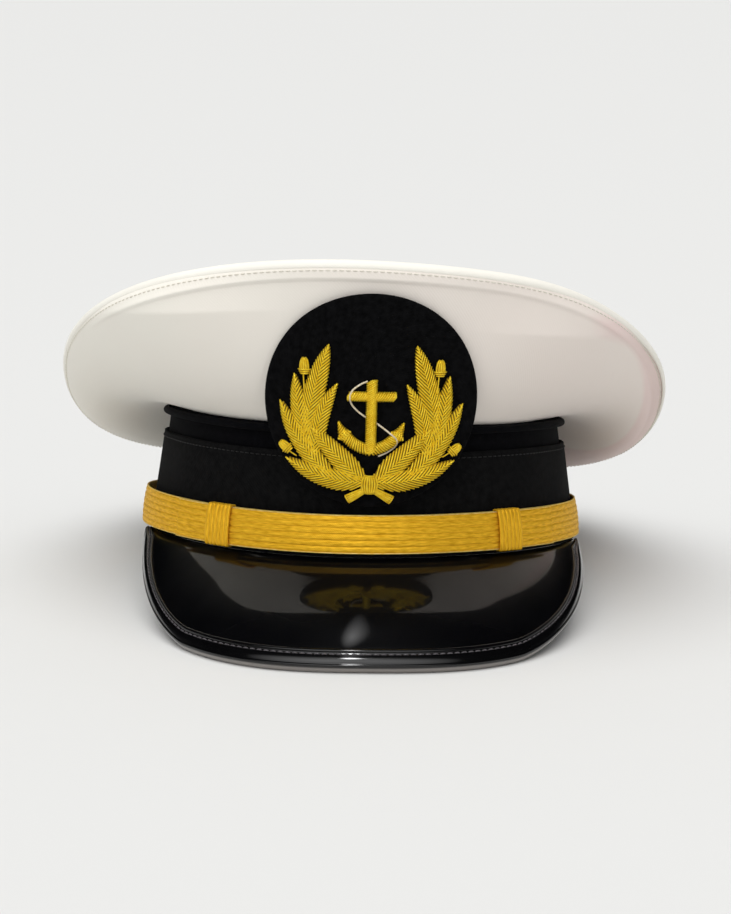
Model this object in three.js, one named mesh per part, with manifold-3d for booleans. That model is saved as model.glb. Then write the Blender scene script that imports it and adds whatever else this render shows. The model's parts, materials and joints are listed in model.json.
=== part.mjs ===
// A naval officer's peaked cap: a white cloth crown stretched over a tilted oval rim, a black
// cloth band with a second band sewn round it, a patent leather peak, a gold braid chin strap
// with two sliders, and a round cloth badge with a raised wreath and anchor.
//
// Millimetres and degrees. The cap frame has its origin at the centre of the band's lower edge,
// +Z up the band and the peak towards -Y. The finished cap is tipped back until it rests on the
// rim of its peak and on the back of its band.

import * as THREE from "three";
import { mergeVertices } from "three/addons/utils/BufferGeometryUtils.js";
import Module from "manifold-3d";

const wasm = await Module();
wasm.setup();

// Driving dimensions

const GAP = 0.3; // clearance between pieces that are sewn or pressed together
const ROUND_STEPS = 48; // steps round the head

const BAND = {
  halfWidth: { low: 86.5, high: 80.0 }, // outside of the inner band, at its two edges
  halfLength: { low: 101.5, high: 104.5 },
  height: 49.5,
  wall: 2.4,
  lift: { front: 0.5, sides: 3.0, lean: 1.85 }, // its two sides are pushed up, more so on -X
};
const OUTER_BAND = { height: 39.5, wall: 1.6 };
const PIPING = { radius: 1.5, sides: 6, below: 1.8 }; // black cord under the crown

const CROWN = {
  wall: 1.4,
  edgeRadius: 4, // the edge is rounded over a hoop of this radius
  halfWidth: 120.4, // to the middle of the hoop
  reach: { front: 118, back: 135 },
  sideHeight: 60, // height of the hoop at the two sides
  rise: { height: 47.6, fullness: 0.25 }, // it climbs this much from side to front
  droop: { height: 30, fullness: 1.2 }, // and falls this much from side to back
  roll: 2.45, // the crown sits a little lower on the +X side
  corner: { at: 36, spread: 20, height: 2.2 }, // and the hoop is bent up a little at one place
  tipDome: 9, // the top panel stands this far above the middle of the hoop
  tipSlope: -0.17, // and its centre falls this much for each step back
  seatInset: 0.6, // the lower edge starts this far inside the band's outer face
};
// How the crown's wall runs at five places round the head, as angles above the horizontal:
// leaving the band, arriving at the edge, and setting off inwards over the top.
const CROWN_SECTIONS = [
  { at: 0, leave: 66, arrive: 80, tip: -8 },
  { at: 45, leave: 34, arrive: 68, tip: 2 },
  { at: 90, leave: 5, arrive: 42, tip: 14 },
  { at: 135, leave: 1, arrive: -32, tip: 42 },
  { at: 180, leave: -3, arrive: -50, tip: 53 },
];
const WELT = { halfWidth: 2.6, thickness: 1.1 };

const PEAK = {
  wall: 2.2,
  reach: 34, // forwards from the band, in plan
  drop: 39.5, // below the band's lower edge
  halfWidth: { left: 88.4, right: 86.6 },
  backY: -22, // where its two ends meet the band
  innerHalfAngle: 78,
  squareness: 2.7, // exponent of the rim's superellipse
  flatHalfAngle: { left: 38, right: 29 }, // the rim lies on the surface this far to either side
  riseExponent: 1.3,
  bulge: 0.12, // the section sets off this much flatter than its chord
  roll: 6, // exponent with which it rolls over towards the rim
  rimHeight: 2.7, // top edge of the rim above the surface
};
const BINDING = { wall: 0.9, leg: 5.5, endShare: 0.7, clearance: 0.4 };

const STRAP = {
  low: 1.9,
  high: 16.2,
  wall: 1.2,
  standOff: 1.1, // room behind it for the back of a slider
  endAngle: 115,
  tailAngle: 54, // the outer layer ends here
  crown: 0.5, // the middle stands this far in front of the edges
  slack: 2.0, // it bows out from the band on the -X side
};
const SLIDER = { angle: { left: -38.8, right: 36.9 }, halfAngle: 3.6, wall: 0.5, bulge: 0.5 };
const BUTTON = { radius: 7, height: 4.2, rim: 1.2 };

const PATCH = {
  radius: 40.4,
  wall: 2.2,
  bend: 92, // radius it is bent to, round the head
  lean: 10.8,
  centreX: 0.4,
  centreZ: 60.2,
  centreY: -114.3, // its back, at the centre
  turn: 0.75, // clockwise, as it is sewn on
};
const RELIEF = { lift: GAP, edge: 0.45, layer: 0.05 }; // each strip sewn later starts a little higher

const FLATTEN = 1.0; // the surface presses the back of the band flat by this much
const ORIGIN_SHIFT = 0.18; // brings the middle of the cap's length over the origin

const COLOURS = {
  whiteCloth: { color: 0xe9e6df, roughness: 0.7, metalness: 0 },
  blackCloth: { color: 0x0b0b0e, roughness: 0.9, metalness: 0 },
  patentLeather: { color: 0x050507, roughness: 0.08, metalness: 0 },
  goldBraid: { color: 0xd9a42a, roughness: 0.45, metalness: 0.6 },
  goldWire: { color: 0xd8b13c, roughness: 0.35, metalness: 0.8 },
  gilt: { color: 0xd4a63a, roughness: 0.25, metalness: 1 },
};

const outerOffset = GAP + OUTER_BAND.wall;
const bandReach = BAND.halfLength.low + outerOffset;
const tilt = Math.atan2(PEAK.drop, PEAK.reach + 2 * bandReach);
const lift = bandReach * Math.sin(tilt) - FLATTEN;

// Small helpers

const rad = THREE.MathUtils.degToRad;
const mix = THREE.MathUtils.lerp;

function range(count, from = 0, to = 1) {
  return Array.from({ length: count }, (_, i) => mix(from, to, count > 1 ? i / (count - 1) : 0));
}

// Angles once round the head, without repeating the first.
const roundAngles = range(ROUND_STEPS + 1, 0, 2 * Math.PI).slice(0, -1);

// Height, in the cap frame, of the surface that the tipped cap rests on.
function floorHeight(y) {
  return (y * Math.sin(tilt) - lift) / Math.cos(tilt);
}

function pressedFlat(point) {
  point.z = Math.max(point.z, floorHeight(point.y));
  return point;
}

// One closed body from loops of equally many points. Neighbouring loops are stitched together;
// the last joins the first if the row of loops is closed, and otherwise both ends are filled.
// A loop that isn't convex is filled with the triangles of its flat outline.
function loft(loops, { closed = false, outline = null } = {}) {
  const sides = loops[0].length;
  const positions = loops.flat().flatMap((p) => [p.x, p.y, p.z]);
  const index = [];
  const last = closed ? loops.length : loops.length - 1;
  for (let i = 0; i < last; i += 1) {
    const here = i * sides;
    const next = ((i + 1) % loops.length) * sides;
    for (let j = 0; j < sides; j += 1) {
      const k = (j + 1) % sides;
      index.push(here + j, next + j, next + k, here + j, next + k, here + k);
    }
  }
  if (!closed) {
    const flat = outline ?? loops[0].map((_, j) => roundCorner(j, sides));
    const end = (loops.length - 1) * sides;
    for (const [a, b, c] of THREE.ShapeUtils.triangulateShape(flat, [])) {
      index.push(a, b, c, end + a, end + c, end + b);
    }
  }
  const geometry = new THREE.BufferGeometry();
  geometry.setAttribute("position", new THREE.Float32BufferAttribute(positions, 3));
  geometry.setIndex(index);
  return facingOut(geometry);
}

function roundCorner(j, sides) {
  const turn = (2 * Math.PI * j) / sides;
  return new THREE.Vector2(Math.cos(turn), Math.sin(turn));
}

// Turns every triangle round if the body's signed volume is negative.
function facingOut(geometry) {
  const p = geometry.getAttribute("position");
  const index = geometry.index.array;
  const corner = [new THREE.Vector3(), new THREE.Vector3(), new THREE.Vector3()];
  let volume = 0;
  for (let i = 0; i < index.length; i += 3) {
    corner.forEach((v, n) => v.fromBufferAttribute(p, index[i + n]));
    volume += corner[0].dot(corner[1].cross(corner[2]));
  }
  if (volume < 0) geometry.setIndex(Array.from(index).reverse());
  return geometry;
}

function toSolid(geometry) {
  const merged = mergeVertices(geometry, 1e-4);
  return new wasm.Manifold(
    new wasm.Mesh({
      numProp: 3,
      vertProperties: new Float32Array(merged.getAttribute("position").array),
      triVerts: new Uint32Array(merged.index.array),
    }),
  );
}

// Several overlapping bodies fused into one.
function fuse(geometries) {
  const solid = geometries.map(toSolid).reduce((sum, part) => sum.add(part));
  const mesh = solid.getMesh();
  const fused = new THREE.BufferGeometry();
  fused.setAttribute("position", new THREE.Float32BufferAttribute(mesh.vertProperties, 3));
  fused.setIndex(Array.from(mesh.triVerts));
  return fused;
}

const cap = new THREE.Group();

function addPiece(name, geometry, finish) {
  const mesh = new THREE.Mesh(geometry, new THREE.MeshStandardMaterial(COLOURS[finish]));
  mesh.name = name;
  cap.add(mesh);
}

// Bands: the head-sized inner band, the band sewn round its lower part, and the piping above

// How far the band is pushed up at an angle: not at all at the back, where it rests.
function bandLift(angle) {
  const { front, sides, lean } = BAND.lift;
  const sideways = Math.sin(angle);
  return (front * (1 + Math.cos(angle))) / 2 + (sides - lean * sideways) * sideways * sideways;
}

// A point of the inner band's outer face, moved outwards by an offset. The angle starts at the
// peak and grows towards +X.
function bandPoint(angle, height, offset = 0) {
  const up = height / BAND.height;
  const halfWidth = mix(BAND.halfWidth.low, BAND.halfWidth.high, up) + offset;
  const halfLength = mix(BAND.halfLength.low, BAND.halfLength.high, up) + offset;
  const z = height + bandLift(angle);
  return new THREE.Vector3(halfWidth * Math.sin(angle), -halfLength * Math.cos(angle), z);
}

// A hoop of cloth between two offsets and two heights, pressed flat where it rests.
function bandHoop(inner, outer, height) {
  const corners = [
    [outer, 0],
    [outer, height],
    [inner, height],
    [inner, 0],
  ];
  const ring = (offset, z) => roundAngles.map((a) => pressedFlat(bandPoint(a, z, offset)));
  const loops = corners.map(([offset, z]) => ring(offset, z));
  return loft(loops, { closed: true });
}

addPiece("band_inner", bandHoop(-BAND.wall, 0, BAND.height), "blackCloth");
addPiece("band_outer", bandHoop(GAP, outerOffset, OUTER_BAND.height), "blackCloth");

function pipingHoop() {
  const loops = range(PIPING.sides + 1, 0, 2 * Math.PI).slice(0, -1).map((turn) => {
    const offset = GAP + PIPING.radius * (1 + Math.cos(turn));
    const height = BAND.height - PIPING.below + PIPING.radius * Math.sin(turn);
    return roundAngles.map((a) => bandPoint(a, height, offset));
  });
  return loft(loops, { closed: true });
}

addPiece("band_piping", pipingHoop(), "blackCloth");

// Crown: one surface from the band, out to the rounded edge, and over the top to its centre

// A column of the section table at any angle: a smooth curve through the rows, which stand at
// even steps and repeat in mirror image on the other side.
function sectionValue(angle, column) {
  const turn = Math.abs(THREE.MathUtils.radToDeg(Math.atan2(Math.sin(angle), Math.cos(angle))));
  const last = CROWN_SECTIONS.length - 1;
  const place = turn / CROWN_SECTIONS[1].at;
  const row = Math.min(Math.floor(place), last - 1);
  const share = place - row;
  const [before, from, to, after] = [-1, 0, 1, 2].map((step) => {
    const at = Math.abs(row + step);
    return CROWN_SECTIONS[at > last ? 2 * last - at : at][column];
  });
  const bend = share * (2 * before - 5 * from + 4 * to - after);
  const swing = share * share * (3 * from - 3 * to + after - before);
  return from + 0.5 * share * (to - before + bend + swing);
}

// A soft corner in the hoop, which falls off to both sides of its angle.
function hoopCorner(angle) {
  const { at, spread, height } = CROWN.corner;
  const turn = Math.atan2(Math.sin(angle - rad(at)), Math.cos(angle - rad(at)));
  return height * Math.exp(-((turn / rad(spread)) ** 2));
}

// The middle of the hoop that the crown's edge is stretched over.
function hoopPoint(angle) {
  const forward = Math.cos(angle);
  const sweep = forward > 0 ? CROWN.rise : CROWN.droop;
  const reach = forward > 0 ? CROWN.reach.front : CROWN.reach.back;
  const height = sweep.height * forward * (1 + sweep.fullness * (1 - Math.abs(forward)));
  const x = CROWN.halfWidth * Math.sin(angle);
  const z = CROWN.sideHeight + height - x * Math.tan(rad(CROWN.roll));
  return new THREE.Vector3(x, -reach * forward, z + hoopCorner(angle));
}

const tipCentre = hoopPoint(0).add(hoopPoint(Math.PI)).multiplyScalar(0.5);
tipCentre.z += CROWN.tipDome;

// A direction that points away from the head's axis and climbs at an elevation in degrees.
function outwards(angle, elevation) {
  const level = Math.cos(rad(elevation));
  return new THREE.Vector3(level * Math.sin(angle), -level * Math.cos(angle), Math.sin(rad(elevation)));
}

// The rounded edge, from where the wall arrives (0) to where the top panel sets off (1).
function crownEdge(angle, share) {
  const facing = mix(sectionValue(angle, "arrive") - 90, 90 - sectionValue(angle, "tip"), share);
  return hoopPoint(angle).addScaledVector(outwards(angle, facing), CROWN.edgeRadius);
}

function crownWallCurve(angle) {
  const seat = bandPoint(angle, BAND.height, -CROWN.seatInset);
  seat.z += GAP;
  const end = crownEdge(angle, 0);
  const handle = seat.distanceTo(end) / 3;
  return new THREE.CubicBezierCurve3(
    seat,
    seat.clone().addScaledVector(outwards(angle, sectionValue(angle, "leave")), handle),
    end.clone().addScaledVector(outwards(angle, sectionValue(angle, "arrive")), -handle),
    end,
  );
}

function crownTopCurve(angle) {
  const start = crownEdge(angle, 1);
  const level = start.clone();
  level.z = tipCentre.z + CROWN.tipSlope * (start.y - tipCentre.y);
  const inwards = outwards(angle + Math.PI, sectionValue(angle, "tip"));
  return new THREE.CubicBezierCurve3(
    start,
    start.clone().addScaledVector(inwards, start.distanceTo(tipCentre) / 3),
    tipCentre.clone().lerp(level, 0.45),
    tipCentre,
  );
}

// A point of the crown's outer face. along runs 0 to 1 up the wall, to 2 round the edge and to
// 3 at the centre of the top.
function crownFace(angle, along) {
  if (along < 1) return crownWallCurve(angle).getPoint(along);
  if (along < 2) return crownEdge(angle, along - 1);
  return crownTopCurve(angle).getPoint(along - 2);
}

function crownNormal(angle, along) {
  const step = 0.01;
  const round = crownFace(angle + step, along).sub(crownFace(angle - step, along));
  const up = crownFace(angle, Math.min(along + step, 3)).sub(crownFace(angle, Math.max(along - step, 0)));
  return round.cross(up).normalize();
}

function crownPoint(angle, along, offset) {
  return crownFace(angle, along).addScaledVector(crownNormal(angle, along), offset);
}

function crownLoop(along, offset) {
  return roundAngles.map((a) => crownPoint(a, along, offset));
}

const SEAM = 1.5; // the welted seam runs along the middle of the rounded edge
const SEAM_GAP = 0.02; // half the parting between wall and top, as a share of that rounding
const wallSteps = [0, 0.16, 0.34, 0.54, 0.76, 1, 1.25, SEAM - SEAM_GAP];
const topSteps = [SEAM + SEAM_GAP, 1.75, 2, 2.25, 2.5, 2.75, 2.93];

function crownWall() {
  const outside = wallSteps.map((along) => crownLoop(along, 0));
  const inside = wallSteps.map((along) => crownLoop(along, -CROWN.wall));
  return loft([...outside, ...inside.reverse()], { closed: true });
}

function crownTop() {
  const outside = topSteps.map((along) => crownLoop(along, 0));
  const inside = topSteps.map((along) => crownLoop(along, -CROWN.wall));
  return loft([...outside.reverse(), ...inside]);
}

// The seam's folded edge: a strip that lies over the parting, thickest along its middle.
function crownWelt() {
  const across = range(5, -1, 1);
  const face = (share, offset) =>
    roundAngles.map((a) => {
      const turn = rad(180 - sectionValue(a, "arrive") - sectionValue(a, "tip"));
      return crownPoint(a, SEAM + (share * WELT.halfWidth) / (CROWN.edgeRadius * turn), offset);
    });
  const height = (share) => GAP + WELT.thickness * Math.sqrt(1.15 - share * share);
  const outside = across.map((share) => face(share, height(share)));
  const inside = across.map((share) => face(share, GAP));
  return loft([...outside, ...inside.reverse()], { closed: true });
}

addPiece("crown_side", crownWall(), "whiteCloth");
addPiece("crown_top", crownTop(), "whiteCloth");
addPiece("crown_welt", crownWelt(), "whiteCloth");

// Peak: a curved plate from the band's lower edge down to a rim that lies on the surface

function peakInner(share) {
  const point = bandPoint(share * rad(PEAK.innerHalfAngle), 0, outerOffset);
  point.z -= GAP;
  return point;
}

function peakRim(share) {
  const angle = (share * Math.PI) / 2;
  const forward = PEAK.reach + bandReach + PEAK.backY;
  const n = PEAK.squareness;
  const halfWidth = share < 0 ? PEAK.halfWidth.left : PEAK.halfWidth.right;
  const sideways = Math.abs(Math.sin(angle) / halfWidth) ** n;
  const ahead = Math.abs(Math.cos(angle) / forward) ** n;
  const radius = (sideways + ahead) ** (-1 / n);
  const y = PEAK.backY - radius * Math.cos(angle);
  const flatShare = (share < 0 ? PEAK.flatHalfAngle.left : PEAK.flatHalfAngle.right) / 90;
  const climb = Math.max(0, (Math.abs(share) - flatShare) / (1 - flatShare)) ** PEAK.riseExponent;
  const z = mix(floorHeight(y) + PEAK.rimHeight, peakInner(Math.sign(share)).z, climb);
  return new THREE.Vector3(radius * Math.sin(angle), y, z);
}

// The peak's section at a share of its width: a point of the chord, bulged, and the way out of
// its upper face.
function peakSection(share) {
  const inner = peakInner(share);
  const rim = peakRim(share);
  const chord = rim.clone().sub(inner);
  const length = chord.length();
  const sideways = new THREE.Vector3(0, 0, 1).cross(chord).normalize();
  const out = chord.clone().cross(sideways).normalize();
  const rise = (t) => PEAK.bulge * length * t * (1 - t ** PEAK.roll);
  const point = (along, offset) =>
    inner
      .clone()
      .addScaledVector(chord, along)
      .addScaledVector(out, rise(Math.min(along, 1)) + offset);
  return { point, length };
}

// Sections lie closer together towards the two ends, where the peak twists.
const boundShares = range(33, -1, 1).map((u) => 0.985 * Math.sin((u * Math.PI) / 2));
const peakShares = [-1, ...boundShares, 1];

// How far the binding reaches in from the rim of a section.
function bindingLeg(length) {
  return Math.min(BINDING.leg, BINDING.endShare * length);
}

function peakPlate() {
  const loops = peakShares.map((share) => {
    const { point, length } = peakSection(share);
    const along = [...range(6, 0, 1 - bindingLeg(length) / length), 1];
    const upper = along.map((t) => point(t, 0));
    const under = along.map((t) => point(t, -PEAK.wall));
    return [...upper, ...under.reverse()];
  });
  return loft(loops);
}

// The binding folded over the rim: a channel with one leg above the plate and one below it.
function peakBinding() {
  const near = BINDING.clearance;
  const far = near + BINDING.wall;
  const corners = [
    { back: 1, offset: near },
    { past: near, offset: near },
    { past: near, offset: -PEAK.wall - near },
    { back: 1, offset: -PEAK.wall - near },
    { back: 1, offset: -PEAK.wall - far },
    { back: 0, offset: -PEAK.wall - far },
    { past: far, offset: -PEAK.wall - far * 0.45 },
    { past: far, offset: far * 0.45 },
    { back: 0, offset: far },
    { back: 1, offset: far },
  ];
  const reach = ({ back = 0, past = 0 }, leg) => past - back * leg;
  const loops = boundShares.map((share) => {
    const { point, length } = peakSection(share);
    const leg = bindingLeg(length);
    return corners.map((c) => pressedFlat(point(1 + reach(c, leg) / length, c.offset)));
  });
  const outline = corners.map((c) => new THREE.Vector2(reach(c, BINDING.leg), c.offset));
  return loft(loops, { outline });
}

addPiece("peak", peakPlate(), "patentLeather");
addPiece("peak_binding", peakBinding(), "patentLeather");

// Chin strap: two layers of braid from side to side, two sliders round them, a button at each end

function strapPoint(angle, height, offset) {
  const slack = STRAP.slack * Math.max(0, -Math.sin(angle)) ** 3;
  return bandPoint(angle, height, outerOffset + STRAP.standOff + slack + offset);
}

// A strip of braid with a slightly crowned outer face, between two angles.
function braid(from, to, offset, steps) {
  const across = range(5, STRAP.low, STRAP.high);
  const middle = (STRAP.low + STRAP.high) / 2;
  const half = (STRAP.high - STRAP.low) / 2;
  const crowned = (z) => STRAP.crown * (1 - ((z - middle) / half) ** 2);
  const loops = range(steps, from, to).map((angle) => [
    ...across.map((z) => strapPoint(angle, z, offset + STRAP.wall - STRAP.crown + crowned(z))),
    strapPoint(angle, STRAP.high, offset),
    strapPoint(angle, STRAP.low, offset),
  ]);
  return loft(loops);
}

const outerLayer = STRAP.wall + GAP;
addPiece("strap_under", braid(-rad(STRAP.endAngle), rad(STRAP.endAngle), 0, 45), "goldBraid");
addPiece("strap_over", braid(-rad(STRAP.tailAngle), rad(STRAP.tailAngle), outerLayer, 25), "goldBraid");

// A slider is a flat loop that goes right round both layers of the strap.
function slider(name) {
  const around = (grow) => {
    const back = -GAP - grow;
    const front = outerLayer + STRAP.wall + GAP + grow;
    const low = STRAP.low - GAP - grow;
    const high = STRAP.high + GAP + grow;
    const middle = (low + high) / 2;
    const crest = front + SLIDER.bulge;
    return [
      [back, low],
      [front, low],
      [crest, mix(low, middle, 0.5)],
      [crest, middle],
      [crest, mix(middle, high, 0.5)],
      [front, high],
      [back, high],
    ];
  };
  const loop = (share, grow) => {
    const angle = rad(SLIDER.angle[name] + share * SLIDER.halfAngle);
    return around(grow).map(([offset, z]) => strapPoint(angle, z, offset));
  };
  const across = range(4, -1, 1);
  const outside = across.map((share) => loop(share, SLIDER.wall));
  const inside = across.map((share) => loop(share, 0));
  return loft([...outside, ...inside.reverse()], { closed: true });
}

// A domed button that holds the strap's end against the band.
function sideButton(side) {
  const dome = range(5, 0, Math.PI / 2).map(
    (turn) =>
      new THREE.Vector2(
        BUTTON.radius * Math.cos(turn),
        BUTTON.rim + (BUTTON.height - BUTTON.rim) * Math.sin(turn),
      ),
  );
  const profile = [new THREE.Vector2(0, 0), new THREE.Vector2(BUTTON.radius, 0), ...dome];
  profile[profile.length - 1].x = 0;
  const lathe = new THREE.LatheGeometry(profile, 16);
  lathe.deleteAttribute("normal");
  lathe.deleteAttribute("uv");
  const geometry = facingOut(mergeVertices(lathe, 1e-3));
  const angle = side * rad(STRAP.endAngle - 4.6);
  const height = (STRAP.low + STRAP.high) / 2;
  const seat = strapPoint(angle, height, STRAP.wall + GAP + STRAP.crown);
  const out = bandPoint(angle, height, 1).sub(bandPoint(angle, height));
  const away = new THREE.Vector3(out.x, out.y, 0).normalize();
  const turn = new THREE.Quaternion().setFromUnitVectors(new THREE.Vector3(0, 1, 0), away);
  return geometry.applyQuaternion(turn).translate(seat.x, seat.y, seat.z);
}

for (const [name, side] of [["left", -1], ["right", 1]]) {
  addPiece(`slider_${name}`, slider(name), "goldBraid");
  addPiece(`side_button_${name}`, sideButton(side), "gilt");
}

// Badge: a round patch that leans with the crown, and the embroidery raised on it

const patchTilt = new THREE.Matrix4().makeRotationX(rad(PATCH.lean));

// A point over the patch: right and up across its face, height out from its back.
function patchPoint(right, up, height) {
  const spot = new THREE.Vector2(right, up).rotateAround(new THREE.Vector2(), -rad(PATCH.turn));
  const turn = spot.x / PATCH.bend;
  const radius = PATCH.bend + height;
  const local = new THREE.Vector3(radius * Math.sin(turn), PATCH.bend - radius * Math.cos(turn), spot.y);
  local.applyMatrix4(patchTilt);
  return local.add(new THREE.Vector3(PATCH.centreX, PATCH.centreY, PATCH.centreZ));
}

function badgePatch() {
  const edge = 0.8; // the border is rounded over this far in
  const rings = [
    [0.3, 1],
    [0.66, 1],
    [1 - edge / PATCH.radius, 1],
    [1, 0.7],
    [1, 0.15],
    [1 - edge / PATCH.radius, 0],
    [0.6, 0],
    [0.25, 0],
  ];
  const turns = range(37, 0, 2 * Math.PI).slice(0, -1);
  const loops = rings.map(([share, height]) =>
    turns.map((t) => {
      const r = share * PATCH.radius;
      return patchPoint(r * Math.cos(t), r * Math.sin(t), height * PATCH.wall);
    }),
  );
  return loft(loops);
}

addPiece("badge_patch", badgePatch(), "blackCloth");

// A raised strip of embroidery along a bent line from base to tip. bow pushes the middle of the
// line to its left, and width(t) is its full width at a share t of its length.
function raisedStrip({ base, tip, bow = 0, height, width, steps = 6, layer = 0 }) {
  const from = new THREE.Vector2(...base);
  const to = new THREE.Vector2(...tip);
  const along = to.clone().sub(from);
  const left = new THREE.Vector2(-along.y, along.x).normalize();
  const middle = from.clone().lerp(to, 0.5).addScaledVector(left, 2 * bow);
  const line = new THREE.QuadraticBezierCurve(from, middle, to);
  const foot = PATCH.wall + RELIEF.lift + layer * RELIEF.layer;
  const section = [
    [-1, 0],
    [1, 0],
    [1, RELIEF.edge],
    [0, RELIEF.edge + height],
    [-1, RELIEF.edge],
  ];
  const loops = range(steps, 0, 1).map((t) => {
    const point = line.getPoint(t);
    const ahead = line.getTangent(t);
    const across = new THREE.Vector2(ahead.y, -ahead.x).multiplyScalar(width(t) / 2);
    return section.map(([side, rise]) =>
      patchPoint(point.x + side * across.x, point.y + side * across.y, foot + rise),
    );
  });
  return loft(loops);
}

// A leaf starts narrow, is full from a third of its length on, and ends in a point.
function leafWidth({ base, tip, width }) {
  const length = Math.hypot(tip[0] - base[0], tip[1] - base[1]);
  return (t) => {
    const start = mix(0.45, 1, Math.sin((Math.PI / 2) * Math.min(1, t / 0.35)));
    const point = 1 - Math.exp(((t - 1) * length) / LEAF_POINT);
    return width * Math.max(0.05, start * point);
  };
}

const evenWidth = (full) => () => full;

// Leaves of one branch, on the side towards -X: where each starts and ends on the patch, its
// width, and how far it bows.
const LEAF_POINT = 5.8; // how quickly a leaf narrows to its tip
const LEAVES = [
  { base: [-24.0, -13.5], tip: [-15.7, 21.5], width: 9.0, bow: 0.8 },
  { base: [-22.5, -19.0], tip: [-28.1, 9.8], width: 8.0, bow: 0.7 },
  { base: [-20.5, -21.0], tip: [-12.3, 7.0], width: 7.4, bow: 1.8 },
  { base: [-17.0, -26.0], tip: [-33.1, -0.6], width: 8.0, bow: 1.9 },
  { base: [-4.4, -29.4], tip: [-21.5, -9.8], width: 9.4, bow: 0.3 },
  { base: [-3.8, -30.4], tip: [-30.4, -22.2], width: 9.0, bow: 2.5 },
];
// Acorns: the foot of the stem, the cup and the end of the nut.
const ACORNS = [
  { stem: [-23.9, 2.8], cup: [-24.3, 9.2], end: [-24.4, 16.0] },
  { stem: [-26.4, -21.4], cup: [-29.2, -19.8], end: [-32.9, -16.7] },
];
const ACORN = { stemWidth: 0.9, cupWidth: 4.6, cupLength: 1.5, nutWidth: 3.6 };

function acorn({ stem, cup, end }) {
  const along = new THREE.Vector2(...end).sub(new THREE.Vector2(...cup)).normalize();
  const cupEnd = [cup[0] + along.x * ACORN.cupLength, cup[1] + along.y * ACORN.cupLength];
  const nut = (t) => ACORN.nutWidth * Math.sqrt(Math.max(0.05, 1 - t * t * t));
  const stemWidth = evenWidth(ACORN.stemWidth);
  const cupWidth = evenWidth(ACORN.cupWidth);
  return [
    raisedStrip({ base: stem, tip: cupEnd, height: 0.3, width: stemWidth, steps: 3, layer: 5 }),
    raisedStrip({ base: cup, tip: cupEnd, height: 1.2, width: cupWidth, steps: 2, layer: 7 }),
    raisedStrip({ base: cup, tip: end, height: 1.0, width: nut, steps: 5, layer: 6 }),
  ];
}

function branch(side) {
  const mirrored = ([x, y]) => [side * x, y];
  const leaves = LEAVES.map(({ base, tip, width, bow }, layer) =>
    raisedStrip({
      base: mirrored(base),
      tip: mirrored(tip),
      bow: side * bow,
      height: 1.3,
      width: leafWidth({ base, tip, width }),
      layer,
    }),
  );
  const acorns = ACORNS.flatMap(({ stem, cup, end }) =>
    acorn({ stem: mirrored(stem), cup: mirrored(cup), end: mirrored(end) }),
  );
  return fuse([...leaves, ...acorns]);
}

addPiece("wreath_left", branch(1), "goldWire");
addPiece("wreath_right", branch(-1), "goldWire");

// The knot that ties the two branches, with the two cut stems below it.
function wreathTie() {
  const knot = raisedStrip({
    base: [0, -34.4],
    tip: [0, -27.4],
    height: 1.9,
    width: (t) => 5.2 * (0.72 + 0.28 * Math.sin(Math.PI * t)),
    steps: 5,
  });
  const stems = [-1, 1].map((side) =>
    raisedStrip({
      base: [side * 1.6, -33.2],
      tip: [side * 7.8, -36.9],
      height: 1.0,
      width: (t) => 2.4 + 1.6 * t,
      steps: 4,
      layer: 1.5 + side / 2,
    }),
  );
  return fuse([knot, ...stems]);
}

const ANCHOR = {
  top: 8.4,
  foot: -20.0,
  shankWidth: 3.8,
  stockHeight: 2.2,
  stockHalfLength: 8.8,
  stockWidth: 3.6,
  armTip: [11.6, -7.8],
  armWidth: 4.0,
  flukeInner: [7.4, -11.2],
  flukeOuter: [11.4, -14.0],
};

function anchor() {
  const { top, foot, stockHeight, stockHalfLength, armTip, flukeInner, flukeOuter } = ANCHOR;
  const shank = raisedStrip({
    base: [0, foot + 1],
    tip: [0, top],
    height: 1.1,
    width: evenWidth(ANCHOR.shankWidth),
  });
  const stock = raisedStrip({
    base: [-stockHalfLength, stockHeight],
    tip: [stockHalfLength, stockHeight],
    height: 1.0,
    width: evenWidth(ANCHOR.stockWidth),
    layer: 1,
  });
  const arms = [-1, 1].flatMap((side) => [
    raisedStrip({
      base: [0, foot + 2],
      tip: [side * armTip[0], armTip[1]],
      bow: side * -2.6,
      height: 1.1,
      width: (t) => ANCHOR.armWidth * (1 - (0.9 * Math.max(0, t - 0.72)) / 0.28),
      layer: 2.5 + side / 2,
    }),
    raisedStrip({
      base: [side * flukeInner[0], flukeInner[1]],
      tip: [side * flukeOuter[0], flukeOuter[1]],
      height: 0.9,
      width: (t) => 0.5 + 4.2 * Math.sin(Math.PI * t),
      steps: 5,
      layer: 4.5 + side / 2,
    }),
  ]);
  return fuse([shank, stock, ...arms]);
}

addPiece("wreath_tie", wreathTie(), "goldWire");
addPiece("anchor", anchor(), "goldWire");

// The cap as it rests: tipped back, on its peak's rim and the back of its band.
cap.rotation.x = -tilt;
cap.position.set(0, ORIGIN_SHIFT, lift);

const part = new THREE.Group();
part.add(cap);
export default part;
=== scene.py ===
import json

import bmesh
import bpy
import numpy as np
from mathutils import Matrix, Vector

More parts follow.
